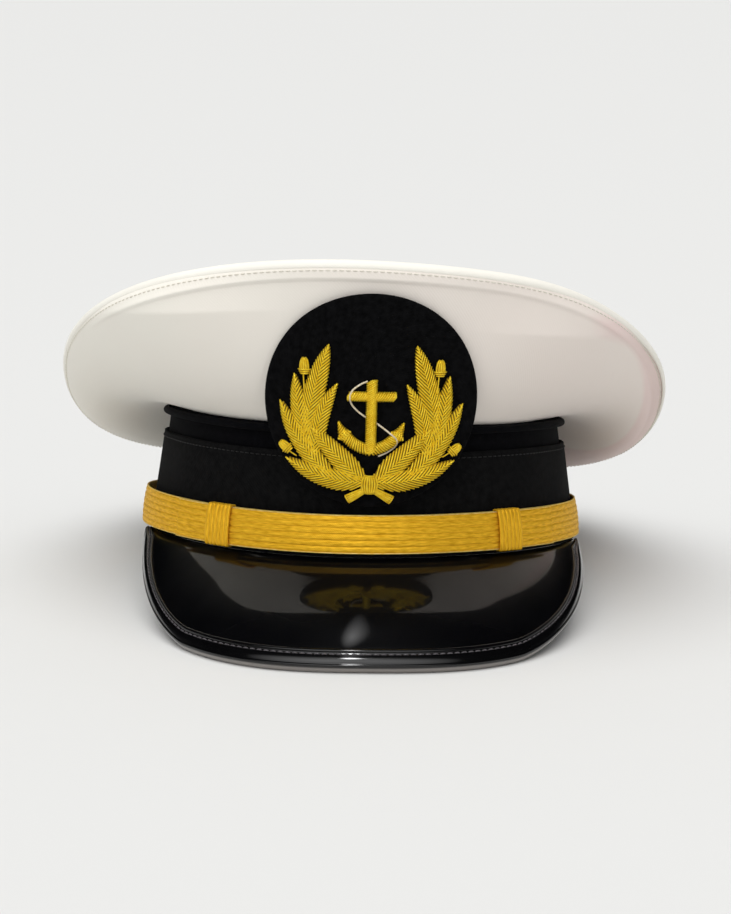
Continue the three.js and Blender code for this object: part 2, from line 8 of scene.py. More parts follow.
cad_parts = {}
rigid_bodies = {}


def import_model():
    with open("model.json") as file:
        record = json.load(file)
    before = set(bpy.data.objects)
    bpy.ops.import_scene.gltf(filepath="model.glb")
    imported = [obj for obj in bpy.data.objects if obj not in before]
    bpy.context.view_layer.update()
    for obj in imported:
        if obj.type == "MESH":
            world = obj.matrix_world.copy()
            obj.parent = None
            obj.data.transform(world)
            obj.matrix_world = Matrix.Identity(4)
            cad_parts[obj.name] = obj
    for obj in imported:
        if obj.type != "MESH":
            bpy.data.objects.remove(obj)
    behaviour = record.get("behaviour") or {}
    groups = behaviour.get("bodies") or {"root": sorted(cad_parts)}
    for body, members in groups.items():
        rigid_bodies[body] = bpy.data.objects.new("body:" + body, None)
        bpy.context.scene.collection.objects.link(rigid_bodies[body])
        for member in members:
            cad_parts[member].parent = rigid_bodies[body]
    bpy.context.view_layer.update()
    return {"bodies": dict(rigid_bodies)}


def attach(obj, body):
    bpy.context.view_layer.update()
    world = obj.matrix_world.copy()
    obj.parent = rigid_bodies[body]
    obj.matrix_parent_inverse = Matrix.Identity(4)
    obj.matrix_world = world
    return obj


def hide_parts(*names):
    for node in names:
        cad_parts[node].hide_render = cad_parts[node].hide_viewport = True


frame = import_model()
(body,) = frame["bodies"]

# Camera: the photograph's view, almost straight at the peak and a little above it, leaning a degree or so.
# The sensor's long side is the picture's height, so that side and the focal length in pixels set the lens.
PICTURE_HEIGHT = 914
SENSOR_SIZE = 36
FOCAL_PIXELS = 2400
FRAMING_PIXELS = (1.5, -6.0)
VIEW_TARGET = np.array((0.0, 0.0001, 0.052))
VIEW_DISTANCE = 1.0
VIEW_AZIMUTH = np.radians(-1.2)
VIEW_ELEVATION = np.radians(12.3)
VIEW_ROLL = np.radians(0.75)


def view_axes(azimuth, elevation, roll):
    """Right, up and back of a camera: a turn round the vertical, a climb, then a roll about its line."""
    level = np.cos(elevation)
    back = np.array((np.sin(azimuth) * level, -np.cos(azimuth) * level, np.sin(elevation)))
    right = np.array((np.cos(azimuth), np.sin(azimuth), 0.0))
    up = np.cross(back, right)
    return right * np.cos(roll) + up * np.sin(roll), up * np.cos(roll) - right * np.sin(roll), back


right, up, back = view_axes(VIEW_AZIMUTH, VIEW_ELEVATION, VIEW_ROLL)
lens = bpy.data.cameras.new("camera")
lens.sensor_width = SENSOR_SIZE
lens.lens = FOCAL_PIXELS / PICTURE_HEIGHT * lens.sensor_width
lens.shift_x, lens.shift_y = np.array(FRAMING_PIXELS) / PICTURE_HEIGHT
camera = bpy.data.objects.new("camera", lens)
view = np.eye(4)
view[:3] = np.stack([right, up, back, VIEW_TARGET + VIEW_DISTANCE * back], 1)
camera.matrix_world = Matrix(view)
bpy.context.scene.collection.objects.link(camera)
bpy.context.scene.camera = camera

# Inner band: the head-sized hoop that everything is sewn to, smooth black cloth over a stiff strip.
# Its upper part shows between the outer band and the crown, and the back of its lower edge rests flat.
MM = 0.001
GAP = 0.3
BAND_HALF_WIDTH = (86.5, 80.0)
BAND_HALF_LENGTH = (101.5, 104.5)
BAND_HEIGHT = 49.5
BAND_WALL = 2.4
BAND_LIFT = {"front": 0.5, "sides": 3.0, "lean": 1.85}
OUTER_BAND_WALL = 1.6
OUTER_OFFSET = GAP + OUTER_BAND_WALL
BAND_REACH = BAND_HALF_LENGTH[0] + OUTER_OFFSET
PEAK_REACH = 34.0
PEAK_DROP = 39.5
FLATTENED = 1.0
ORIGIN_SHIFT = 0.18
TILT = np.arctan2(PEAK_DROP, PEAK_REACH + 2 * BAND_REACH)
LIFT = BAND_REACH * np.sin(TILT) - FLATTENED
WELD = 2e-6
MAP_STEP = 7.3
WAVE_PERIOD = np.pi / 10
BLACK_CLOTH = {"Roughness": 0.92, "Specular_IOR_Level": 0.05, "Sheen_Weight": 0.01, "Sheen_Roughness": 0.45}
BLACK_SPOTS = {"size": 2.2, "detail": 5.0}
BLACK_WEAVE = 0.7
NAP_SIZE = 0.5
ROUND = np.linspace(0, 2 * np.pi, 361)


def at_rest(points):
    """Millimetres on the upright cap to metres on the surface: tipped back by the tilt, then lifted."""
    x, y, z = np.moveaxis(points, -1, 0)
    ahead = y * np.cos(TILT) + z * np.sin(TILT) + ORIGIN_SHIFT
    return MM * np.stack([x, ahead, z * np.cos(TILT) - y * np.sin(TILT) + LIFT], -1)


def pressed_flat(points):
    """No point lies below the surface, whose height on the upright cap climbs evenly towards the back."""
    surface = (points[..., 1] * np.sin(TILT) - LIFT) / np.cos(TILT)
    return np.concatenate([points[..., :2], np.maximum(points[..., 2], surface)[..., None]], -1)


def cloth_map(points):
    """A flat map of each grid in millimetres: the mean length along its columns and along its rows. Grids
    after the first start further up the map, so that no two share a place."""
    down = np.linalg.norm(np.diff(points, axis=1), axis=-1).mean(2).cumsum(1)
    along = np.linalg.norm(np.diff(points, axis=2), axis=-1).mean(1).cumsum(1)
    v = np.pad(down, ((0, 0), (1, 0))) + MAP_STEP * np.arange(len(points))[:, None]
    u = np.pad(along, ((0, 0), (1, 0)))
    return np.stack(np.broadcast_arrays(u[:, None, :], v[:, :, None]), -1)


def grid_quads(points):
    """Four corners of every cell of each grid, turned so that the shape's signed volume is positive."""
    corner = np.arange(points[..., 0].size).reshape(points.shape[:3])
    cells = [corner[:, :-1, :-1], corner[:, 1:, :-1], corner[:, 1:, 1:], corner[:, :-1, 1:]]
    quads = np.stack(cells, -1).reshape(-1, 4)
    a, b, c, d = np.moveaxis(points.reshape(-1, 3)[quads], 1, 0)
    volume = np.sum(a * (np.cross(b, c) + np.cross(c, d)))
    return quads if volume > 0 else quads[:, ::-1]


def add_piece(name, grids, finish, slot, *nodes):
    """One mesh from grids of points (grids, rows, columns, 3) in upright millimetres. Lines that meet are
    welded, which closes seams and poles."""
    quads, start = [], 0
    for grid in grids:
        quads.append(grid_quads(grid) + start)
        start += grid[..., 0].size
    quads = np.concatenate(quads)
    places = np.concatenate([at_rest(grid).reshape(-1, 3) for grid in grids])
    maps = np.concatenate([cloth_map(grid).reshape(-1, 2) for grid in grids])
    mesh = bpy.data.meshes.new(name)
    mesh.vertices.add(len(places))
    mesh.vertices.foreach_set("co", places.ravel())
    mesh.loops.add(quads.size)
    mesh.loops.foreach_set("vertex_index", quads.ravel())
    mesh.polygons.add(len(quads))
    mesh.polygons.foreach_set("loop_start", np.arange(0, quads.size, 4))
    mesh.uv_layers.new(name="cloth").data.foreach_set("uv", maps[quads].ravel())
    mesh.update()
    welded = bmesh.new()
    welded.from_mesh(mesh)
    bmesh.ops.remove_doubles(welded, verts=welded.verts, dist=WELD)
    welded.to_mesh(mesh)
    welded.free()
    mesh.shade_smooth()
    mesh.materials.append(finish)
    piece = bpy.data.objects.new(name, mesh)
    bpy.context.scene.collection.objects.link(piece)
    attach(piece, body)
    if nodes:
        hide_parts(*nodes)


def new_finish(name, **values):
    """A material whose shader has these plain values, named as its sockets are."""
    finish = bpy.data.materials.new(name)
    finish.use_nodes = True
    shader = finish.node_tree.nodes["Principled BSDF"]
    for socket, value in values.items():
        shader.inputs[socket.replace("_", " ")].default_value = value
    return finish


def add_node(finish, kind, inputs, **settings):
    """A node of a finish; an input is a plain value or the socket that feeds it."""
    node = finish.node_tree.nodes.new("ShaderNode" + kind)
    for name, value in settings.items():
        setattr(node, name, value)
    for name, value in inputs.items():
        if isinstance(value, bpy.types.NodeSocket):
            finish.node_tree.links.new(value, node.inputs[name])
        else:
            node.inputs[name].default_value = value
    return node


def mottle(finish, size, detail=3.0):
    """Soft irregular spots of about a size in millimetres, fixed in space."""
    place = add_node(finish, "TexCoord", {}).outputs["Object"]
    inputs = {"Vector": place, "Scale": 1 / (size * MM), "Detail": detail}
    return add_node(finish, "TexNoise", inputs).outputs["Fac"]


def threads_of_cloth(finish, period, distortion=0.4):
    """Even slanting ridges on the cloth's own map, one every period in millimetres."""
    place = add_node(finish, "UVMap", {}, uv_map="cloth").outputs["UV"]
    inputs = {"Vector": place, "Scale": WAVE_PERIOD / period, "Distortion": distortion, "Detail": 1.0}
    return add_node(finish, "TexWave", inputs, bands_direction="DIAGONAL").outputs["Fac"]


def shade(finish, source, dark, light, low=0.3, high=0.7):
    """Colours the surface from dark to light as the source goes from low to high."""
    ramp = add_node(finish, "ValToRGB", {"Fac": source})
    ends = ramp.color_ramp.elements
    ends[0].position, ends[1].position = low, high
    ends[0].color, ends[1].color = (*dark, 1), (*light, 1)
    shader = finish.node_tree.nodes["Principled BSDF"]
    finish.node_tree.links.new(ramp.outputs["Color"], shader.inputs["Base Color"])


def emboss(finish, source, depth, strength=1.0):
    """Raises the surface by up to a depth in millimetres where the source is bright, over what it has."""
    shader = finish.node_tree.nodes["Principled BSDF"]
    inputs = {"Height": source, "Distance": depth * MM, "Strength": strength}
    if shader.inputs["Normal"].is_linked:
        inputs["Normal"] = shader.inputs["Normal"].links[0].from_socket
    bump = add_node(finish, "Bump", inputs)
    finish.node_tree.links.new(bump.outputs["Normal"], shader.inputs["Normal"])


def black_cloth(name, dark, light, nap):
    """Black woven cloth with a short nap, mottled between two greys."""
    finish = new_finish(name, **BLACK_CLOTH)
    shade(finish, mottle(finish, **BLACK_SPOTS), dark, light)
    emboss(finish, threads_of_cloth(finish, BLACK_WEAVE), nap)
    emboss(finish, mottle(finish, NAP_SIZE), 2 * nap)
    return finish


def band_lift(angle):
    """How far the band is pushed up: not at the back, where it rests, a little in front, and most at the
    sides as the square of the angle's sine, more so towards -X."""
    sideways = np.sin(angle)
    front = BAND_LIFT["front"] * (1 + np.cos(angle)) / 2
    return front + (BAND_LIFT["sides"] - BAND_LIFT["lean"] * sideways) * sideways**2


def band_face(angle, height, offset):
    """Outer face of the inner band: an ellipse whose half axes change evenly with height, moved outwards by
    an offset. The angle starts at the peak and grows towards +X."""
    angle, height, offset = np.broadcast_arrays(angle, height, offset)
    climb = height / BAND_HEIGHT
    wide = BAND_HALF_WIDTH[0] + (BAND_HALF_WIDTH[1] - BAND_HALF_WIDTH[0]) * climb + offset
    long = BAND_HALF_LENGTH[0] + (BAND_HALF_LENGTH[1] - BAND_HALF_LENGTH[0]) * climb + offset
    return np.stack([wide * np.sin(angle), -long * np.cos(angle), height + band_lift(angle)], -1)


def wall_outline(inner, outer, low, high, rounding=0.5):
    """A cut through a cloth wall as offsets and heights: up the outer face, over a rounded upper edge, down
    the inner face and round the lower edge to the start."""
    side = np.linspace(low + rounding, high - rounding, 24)
    turn = np.linspace(0, np.pi, 9)[1:-1]
    middle, half = (inner + outer) / 2, (outer - inner) / 2
    faces = np.full_like(side, 1)
    offsets = [middle + half * faces, middle + half * np.cos(turn), middle - half * faces]
    offsets += [middle - half * np.cos(turn), [outer]]
    heights = [side, high - rounding + rounding * np.sin(turn), side[::-1]]
    heights += [low + rounding - rounding * np.sin(turn), side[:1]]
    return np.concatenate(offsets)[:, None], np.concatenate(heights)[:, None]


inner_offsets, inner_heights = wall_outline(-BAND_WALL, 0, 0, BAND_HEIGHT)
inner_band = pressed_flat(band_face(ROUND, inner_heights, inner_offsets))
smooth_black = black_cloth("smooth_black_cloth", (0.0010, 0.0010, 0.0016), (0.0026, 0.0026, 0.0036), 0.02)
add_piece("band_inner_cloth", [inner_band[None]], smooth_black, "band_cloth", "band_inner")

# Outer band: a second strip of napped black cloth sewn round the lower part of the inner one, folded under
# along its upper edge and top-stitched there in black thread.
OUTER_BAND_HEIGHT = 39.5
OUTER_BAND_ROUNDING = 0.8
OUTER_BAND_WAVE = 0.34
FACE_DEPTH = 0.1
TOP_STITCH_DROP = 2.2
BLACK_STITCH = {"pitch": 2.6, "length": 2.0, "radius": 0.22}
# How high a stitch's thread stands from end to end, in radii.
STITCH_ARCH = np.array([-1.4, 0.1, 0.6, 0.75, 0.6, 0.1, -1.4])
# Swells of the band's cloth: each one's share, how many go round, where they start, and the height over
# which they shift by a radian.
SWELLS = [
    {"share": 0.6, "count": 7, "start": 0.9, "height": 21.0},
    {"share": 0.4, "count": 17, "start": 2.1, "height": -13.0},
]


def soft_waves(angle, height):
    """The sum of a few slow swells round the band, each a sine of the angle that shifts with height."""
    waves = 0
    for row in SWELLS:
        waves = waves + row["share"] * np.sin(row["count"] * angle + row["start"] + height / row["height"])
    return waves


def close_ends(grids):
    """Adds a row at both ends of each grid, drawn together to the middle of the row beside it."""
    first = np.broadcast_to(grids[:, :1].mean(2, keepdims=True), grids[:, :1].shape)
    last = np.broadcast_to(grids[:, -1:].mean(2, keepdims=True), grids[:, -1:].shape)
    return np.concatenate([first, grids, last], 1)


def unit(vectors):
    """Directions alone: each vector divided by its length."""
    return vectors / np.maximum(np.linalg.norm(vectors, axis=-1, keepdims=True), 1e-9)


def threads(paths, out, radius, sides=6):
    """Round threads along many short paths at once (threads, steps, 3): circles square to each path, with
    out pointing away from the cloth."""
    ahead = unit(np.gradient(paths, axis=1))
    beside = unit(np.cross(ahead, out))
    above = np.cross(beside, ahead)
    turn = np.linspace(0, 2 * np.pi, sides + 1)[:, None]
    ring = np.cos(turn) * beside[:, :, None] + np.sin(turn) * above[:, :, None]
    radius = np.broadcast_to(radius, paths.shape[1])[:, None, None]
    return close_ends(paths[:, :, None] + radius * ring)


def stitch_row(line, out, pitch, length, radius):
    """Even stitches along a line of points: each thread comes up out of the cloth, lies on it and dives."""
    along = np.pad(np.linalg.norm(np.diff(line, axis=0), axis=-1).cumsum(), (1, 0))
    count = int(along[-1] / pitch)
    middle = (np.arange(count) + 0.5) * along[-1] / count
    places = middle[:, None] + length * np.linspace(-0.5, 0.5, len(STITCH_ARCH))
    on_line = np.stack([np.interp(places, along, line[:, k]) for k in range(3)], -1)
    away = unit(np.stack([np.interp(places, along, out[:, k]) for k in range(3)], -1))
    return threads(on_line + away * radius * STITCH_ARCH[:, None], away, radius)


outer_wall = (GAP, OUTER_OFFSET, 0, OUTER_BAND_HEIGHT, OUTER_BAND_ROUNDING)
outer_offsets, outer_heights = wall_outline(*outer_wall)
on_face = outer_offsets > OUTER_OFFSET - FACE_DEPTH
swell = OUTER_BAND_WAVE * soft_waves(ROUND, outer_heights) * on_face
outer_band = pressed_flat(band_face(ROUND, outer_heights, outer_offsets + swell))
napped_black = black_cloth("napped_black_cloth", (0.0020, 0.0020, 0.0022), (0.0060, 0.0060, 0.0061), 0.05)
add_piece("band_outer_cloth", [outer_band[None]], napped_black, "band_cloth", "band_outer")

stitch_height = OUTER_BAND_HEIGHT - TOP_STITCH_DROP
stitch_swell = OUTER_BAND_WAVE * soft_waves(ROUND, stitch_height)
stitch_line = band_face(ROUND, stitch_height, OUTER_OFFSET + stitch_swell)
stitch_out = unit(stitch_line * (1, 1, 0))
black_thread = new_finish("black_thread", Roughness=0.6, Specular_IOR_Level=0.3)
shade(black_thread, mottle(black_thread, 0.6), (0.004, 0.004, 0.004), (0.012, 0.012, 0.012))
band_stitches = stitch_row(stitch_line, stitch_out, **BLACK_STITCH)
add_piece("band_stitches", [band_stitches], black_thread, "band_cloth")

# Piping: a covered black cord sewn into the seam between the inner band and the crown, which sticks out as
# a rounded lip all the way round.
PIPING_RADIUS = 1.5
PIPING_BELOW = 1.8

lip = np.linspace(0, 2 * np.pi, 17)[:, None]
lip_offsets = GAP + PIPING_RADIUS * (1 + np.cos(lip))
lip_heights = BAND_HEIGHT - PIPING_BELOW + PIPING_RADIUS * np.sin(lip)
piping = band_face(ROUND, lip_heights, lip_offsets)
add_piece("band_piping_cord", [piping[None]], smooth_black, "piping_cloth", "band_piping")

# Crown side: white cloth, sewn to the band and stretched out to a wire hoop that climbs to the front and
# droops at the back. A strip below the hoop is folded double and shallow creases run across both front
# quarters. Painted shade in the cloth's colour makes it pinker and darker towards +X, most of all on the
# strip by the hoop there.
CROWN_WALL = 1.4
EDGE_RADIUS = 4.0
CROWN_HALF_WIDTH = 120.4
CROWN_REACH = {"front": 118.0, "back": 135.0}
SIDE_HEIGHT = 60.0
RISE = {"height": 47.6, "fullness": 0.25}
DROOP = {"height": 30.0, "fullness": 1.2}
CROWN_ROLL = np.radians(2.45)
HOOP_CORNER = {"at": np.radians(36), "spread": np.radians(20), "height": 2.2}
SEAT_INSET = 0.6
# Angles above the horizontal at which the wall leaves the band and arrives at the hoop, and at which the
# top sets off inwards, at even steps from the front to the back.
SECTION_STEP = 45.0
CROWN_SECTIONS = {
    "leave": np.array((66.0, 34.0, 5.0, 1.0, -3.0)),
    "arrive": np.array((80.0, 68.0, 42.0, -32.0, -50.0)),
    "tip": np.array((-8.0, 2.0, 14.0, 42.0, 53.0)),
}
SEAM = 1.5
SEAM_GAP = 0.02
FOLD_WIDTH = 6.0
FOLD_THICKNESS = 0.8
FOLD_STEP = 0.6
FOLD_FRONT = 35.0
TIP_DOME = 9.0
TIP_SLOPE = -0.17
TIP_LEVEL = 0.45
NEAR_CENTRE = 2.98
# Creases of the front quarters: angle of the middle, half its spread, height on the cap and depth.
CREASES = [
    {"angle": -38.0, "spread": 28.0, "height": 93.5, "depth": 5.2},
    {"angle": 40.0, "spread": 24.0, "height": 86.0, "depth": 4.4},
]
CREASE_FADE = {"above": 17.0, "below": 44.0, "hoop": 6.0}
ROLLED_STRIP = {"width": 7.5, "depth": 2.8, "fade": 30.0, "band": 30.0, "angle": 75.0, "spread": 38.0}
# Painted pink shade: how far sideways it grows, in metres, how strong it is at most and how strong the
# random spots of tone are; for the painted shade on the strip by the hoop also where it starts, as shares
# of the way out to the hoop.
PINK_SHADE_AND_SPOTS = {"from": -0.09, "to": 0.09, "most": 0.35, "spots": 0.15}
PINK_STRIP_SHADE = {"from": 0.055, "to": 0.09, "most": 0.5, "inside": 0.915, "outside": 0.93}
PANEL_SPOTS = {"size": 45, "detail": 2.0}


def flowing(before, start, end, after, share):
    """A cubic from start to end that sets off and arrives in the direction of their neighbours."""
    bend = share * (2 * before - 5 * start + 4 * end - after)
    swing = share**2 * (3 * start - 3 * end + after - before)
    return start + 0.5 * share * (end - before + bend + swing)


def section(angle, column):
    """A column of the section table at any angle: a flowing curve through its rows, alike on both sides."""
    turn = np.degrees(np.abs(np.arctan2(np.sin(angle), np.cos(angle))))
    rows = CROWN_SECTIONS[column]
    last = len(rows) - 1
    row = np.minimum((turn / SECTION_STEP).astype(int), last - 1)
    share = turn / SECTION_STEP - row
    near = np.abs(row[..., None] + np.arange(-1, 3))
    return flowing(*np.moveaxis(rows[np.where(near > last, 2 * last - near, near)], -1, 0), share)


def outwards(angle, elevation):
    """A direction away from the head's axis that climbs at an elevation in degrees."""
    level, climb = np.cos(np.radians(elevation)), np.sin(np.radians(elevation))
    return np.stack([level * np.sin(angle), -level * np.cos(angle), climb], -1)


def hoop_wire(angle):
    """The hoop: an oval that climbs as the cosine of the angle, more fully part way round, with a soft
    corner that falls off to both sides of its angle like a bell."""
    forward = np.cos(angle)
    reach = np.where(forward > 0, CROWN_REACH["front"], CROWN_REACH["back"])
    height = np.where(forward > 0, RISE["height"], DROOP["height"])
    fullness = np.where(forward > 0, RISE["fullness"], DROOP["fullness"])
    x = CROWN_HALF_WIDTH * np.sin(angle)
    climb = height * forward * (1 + fullness * (1 - np.abs(forward)))
    turn = np.arctan2(np.sin(angle - HOOP_CORNER["at"]), np.cos(angle - HOOP_CORNER["at"]))
    corner = HOOP_CORNER["height"] * np.exp(-((turn / HOOP_CORNER["spread"]) ** 2))
    return np.stack([x, -reach * forward, SIDE_HEIGHT + climb - x * np.tan(CROWN_ROLL) + corner], -1)


def crown_edge(angle, share):
    """The rounded edge: an arc about the hoop from where the wall arrives to where the top sets off."""
    start = section(angle, "arrive") - 90
    end = 90 - section(angle, "tip")
    return hoop_wire(angle) + EDGE_RADIUS * outwards(angle, start + (end - start) * share)


def bezier(a, b, c, d, share):
    """A cubic curve from a to d that sets off towards b and arrives from c."""
    t = share[..., None]
    return (1 - t) ** 3 * a + 3 * t * (1 - t) ** 2 * b + 3 * t**2 * (1 - t) * c + t**3 * d


def crown_wall(angle, share):
    """The wall: a cubic curve from the band's upper edge to the rounded edge."""
    seat = band_face(angle, BAND_HEIGHT, -SEAT_INSET) + np.array((0, 0, GAP))
    end = crown_edge(angle, 0)
    handle = np.linalg.norm(end - seat, axis=-1, keepdims=True) / 3
    leave = seat + handle * outwards(angle, section(angle, "leave"))
    arrive = end - handle * outwards(angle, section(angle, "arrive"))
    return bezier(seat, leave, arrive, end, share)


tip_centre = hoop_wire(np.array((0, np.pi))).mean(0) + np.array((0, 0, TIP_DOME))


def crown_top(angle, share):
    """The top: a cubic curve from the rounded edge in to one centre, where all such curves are level."""
    start = crown_edge(angle, 1)
    level = start.copy()
    level[..., 2] = tip_centre[2] + TIP_SLOPE * (start[..., 1] - tip_centre[1])
    handle = np.linalg.norm(start - tip_centre, axis=-1, keepdims=True) / 3
    set_off = start + handle * outwards(angle + np.pi, section(angle, "tip"))
    return bezier(start, set_off, tip_centre + TIP_LEVEL * (level - tip_centre), tip_centre, share)


def crown_face(angle, along):
    """The crown's outer face: along runs 0 to 1 up the wall, to 2 round the edge and to 3 at the centre."""
    angle, along = np.broadcast_arrays(angle, along)
    wall = crown_wall(angle, np.clip(along, 0, 1))
    edge = crown_edge(angle, np.clip(along - 1, 0, 1))
    top = crown_top(angle, np.clip(along - 2, 0, 1))
    return np.where((along < 1)[..., None], wall, np.where((along < 2)[..., None], edge, top))


def crown_out(angle, along, step=0.004):
    """The way out of the crown's face, square to its two directions."""
    along = np.clip(along, 0, NEAR_CENTRE)
    around = crown_face(angle + step, along) - crown_face(angle - step, along)
    upwards = crown_face(angle, along + step) - crown_face(angle, np.maximum(along - step, 0))
    return unit(np.cross(around, upwards))


def smooth_step(share):
    """From 0 to 1 as the share does, setting off and arriving level: three squares less two cubes."""
    share = np.clip(share, 0, 1)
    return share * share * (3 - 2 * share)


def wall_length(angle):
    """Roughly how far the wall reaches from the band to the hoop."""
    return np.linalg.norm(crown_edge(angle, 0) - band_face(angle, BAND_HEIGHT, 0), axis=-1)


def crown_dents(angle, face, drop):
    """How far the cloth stands off the even wall, drop being the way down from the hoop: the doubled strip
    over the front, ridges that fade above and below a level line, and on +X a strip by the hoop that tucks
    under and dies away below."""
    turn = np.degrees(np.arctan2(np.sin(angle), np.cos(angle)))
    front = 1 - smooth_step((np.abs(turn) - FOLD_FRONT) / FOLD_FRONT)
    folded = smooth_step((FOLD_WIDTH + FOLD_STEP - drop) / FOLD_STEP)
    dents = FOLD_THICKNESS * front * drop / FOLD_WIDTH * folded
    for crease in CREASES:
        share = np.clip(np.abs(turn - crease["angle"]) / crease["spread"], 0, 1)
        window = (1 - share**2) ** 2
        above = face[..., 2] - crease["height"]
        fade = 1 - np.where(above > 0, above / CREASE_FADE["above"], -above / CREASE_FADE["below"])
        window = window * smooth_step(drop / CREASE_FADE["hoop"])
        dents = dents + crease["depth"] * window * np.clip(fade, 0, 1)
    side = 1 - smooth_step(np.abs(turn - ROLLED_STRIP["angle"]) / ROLLED_STRIP["spread"])
    past = drop - ROLLED_STRIP["width"]
    ridge = np.where(past < 0, drop / ROLLED_STRIP["width"], np.exp(-past / ROLLED_STRIP["fade"]))
    off_band = smooth_step((wall_length(angle) - drop) / ROLLED_STRIP["band"])
    return dents - ROLLED_STRIP["depth"] * side * ridge * off_band


def crown_cloth_face(along):
    """Rows of the wall's outer face with its dents; along is a column that ends at the seam."""
    face = crown_face(ROUND, along)
    steps = np.linalg.norm(np.diff(face, axis=0), axis=-1)
    drop = np.pad(steps[::-1].cumsum(0)[::-1], ((0, 1), (0, 0)))
    return face + crown_out(ROUND, along) * crown_dents(ROUND, face, drop)[..., None], drop


wall_steps = np.concatenate([np.linspace(0, 1, 84), np.linspace(1, SEAM - SEAM_GAP, 10)[1:]])[:, None]
side_face, side_drop = crown_cloth_face(wall_steps)
side_lining = side_face[::-3] - CROWN_WALL * crown_out(ROUND, wall_steps[::-3])
crown_side = np.concatenate([side_face, side_lining, side_face[:1]])


def white_twill(name):
    """Smooth white cloth in a fine diagonal weave, with the faint unevenness of a stretched panel."""
    finish = new_finish(name, Roughness=0.55, Specular_IOR_Level=0.3, Sheen_Weight=0.1)
    emboss(finish, threads_of_cloth(finish, 0.55), 0.02, 0.5)
    emboss(finish, mottle(finish, 9, 2.0), 0.12, 0.5)
    return finish


def between(finish, source, low, high, most=1.0):
    """How far a source has come on its way from low to high, as a share of most."""
    inputs = {"Value": source, "From Min": low, "From Max": high, "To Max": most}
    return add_node(finish, "MapRange", inputs).outputs["Result"]


def pink_shade_and_spots(finish):
    """How much painted pink shade the wall's cloth gets: evenly more from -X to +X, a little more in random
    spots of tone, and most on the strip by the hoop on +X, which lies outside an oval."""
    place = add_node(finish, "TexCoord", {}).outputs["Object"]
    sideways = add_node(finish, "SeparateXYZ", {"Vector": place}).outputs["X"]
    even = between(finish, sideways, PINK_SHADE_AND_SPOTS["from"], PINK_SHADE_AND_SPOTS["to"], PINK_SHADE_AND_SPOTS["most"])
    half_axes = MM * (EDGE_RADIUS + np.array((CROWN_HALF_WIDTH, CROWN_REACH["front"])))
    oval = add_node(finish, "Mapping", {"Vector": place, "Scale": (*(1 / half_axes), 0)}).outputs["Vector"]
    reach = add_node(finish, "VectorMath", {0: oval}, operation="LENGTH").outputs["Value"]
    near_hoop = between(finish, reach, PINK_STRIP_SHADE["inside"], PINK_STRIP_SHADE["outside"])
    strip_share = between(finish, sideways, PINK_STRIP_SHADE["from"], PINK_STRIP_SHADE["to"], PINK_STRIP_SHADE["most"])
    painted_pink_shade = add_node(finish, "Math", {0: near_hoop, 1: strip_share, 2: even}, operation="MULTIPLY_ADD")
    spots = {0: mottle(finish, **PANEL_SPOTS), 1: PINK_SHADE_AND_SPOTS["spots"], 2: painted_pink_shade.outputs[0]}
    return add_node(finish, "Math", spots, operation="MULTIPLY_ADD").outputs[0]


wall_cloth = white_twill("white_wall_cloth")
# The pinker, darker colour at the high end is painted shade for the side away from the light.
shade(wall_cloth, pink_shade_and_spots(wall_cloth), (0.855, 0.835, 0.755), (0.805, 0.64, 0.605), 0.0, 1.0)
add_piece("crown_side_cloth", [crown_side[None]], wall_cloth, "crown_cloth", "crown_side")

# Crown top: one oval panel of the same white cloth, painted darker as shade under the light overhead, slack
# enough to dip behind the hoop and rise again.
# It is drawn over the hoop and sewn to the wall half way round the edge.
top_steps = np.concatenate([np.linspace(SEAM + SEAM_GAP, 2, 8), np.linspace(2, 3, 48)[1:]])[:, None]
top_face = crown_face(ROUND, top_steps)
top_lining = (top_face - CROWN_WALL * crown_out(ROUND, top_steps))[::-1]
top_lining[0] = tip_centre - np.array((0, 0, CROWN_WALL))
crown_top_panel = np.concatenate([top_face, top_lining, top_face[:1]])
top_cloth = white_twill("white_top_cloth")
# This white is a darker copy of the wall's: painted shade against the strong light from overhead.
shade(top_cloth, mottle(top_cloth, **PANEL_SPOTS), (0.735, 0.708, 0.648), (0.755, 0.732, 0.672))
add_piece("crown_top_cloth", [crown_top_panel[None]], top_cloth, "crown_cloth", "crown_top")

# Welt: the allowance of the seam between wall and top, the same white cloth, painted a little lighter as a
# highlight, folded over it all the way round and sewn down with white thread on both of its sides.
WELT_HALF_WIDTH = 2.6
WELT_THICKNESS = 1.2
WELT_SUNK = -0.35
WELT_FOOT = 0.2
WELT_BLUNTNESS = 1.02
WHITE_STITCH = {"pitch": 2.5, "length": 1.9, "radius": 0.24}
FOLD_STITCH_DROP = 3.0
TOP_STITCH_SHARE = 1.5


def welt_along(share):
    """Where a share of the welt's half width lies on the crown's face, counted from the seam."""
    turn = np.radians(180 - section(ROUND, "arrive") - section(ROUND, "tip"))
    return SEAM + share * WELT_HALF_WIDTH / (EDGE_RADIUS * turn)


def welt_face(share, offset):
    """Places over the crown's face along the welt, raised by an offset."""
    along = welt_along(share)
    return crown_face(ROUND, along) + crown_out(ROUND, along) * offset


across = np.linspace(-1, 1, 13)[:, None]
welt_rise = WELT_SUNK + WELT_THICKNESS * np.sqrt(WELT_BLUNTNESS - across**2)
welt_over = welt_face(across, welt_rise[..., None])
welt_under = welt_face(across[::-1], WELT_SUNK - WELT_FOOT)
welt = np.concatenate([welt_over, welt_under, welt_over[:1]])
welt_cloth = white_twill("white_welt_cloth")
# This white is a lighter copy of the wall's: a painted highlight on the rim that faces the light.
shade(welt_cloth, mottle(welt_cloth, **PANEL_SPOTS), (0.87, 0.84, 0.765), (0.89, 0.865, 0.79))
add_piece("crown_welt_fold", [welt[None]], welt_cloth, "crown_cloth", "crown_welt")

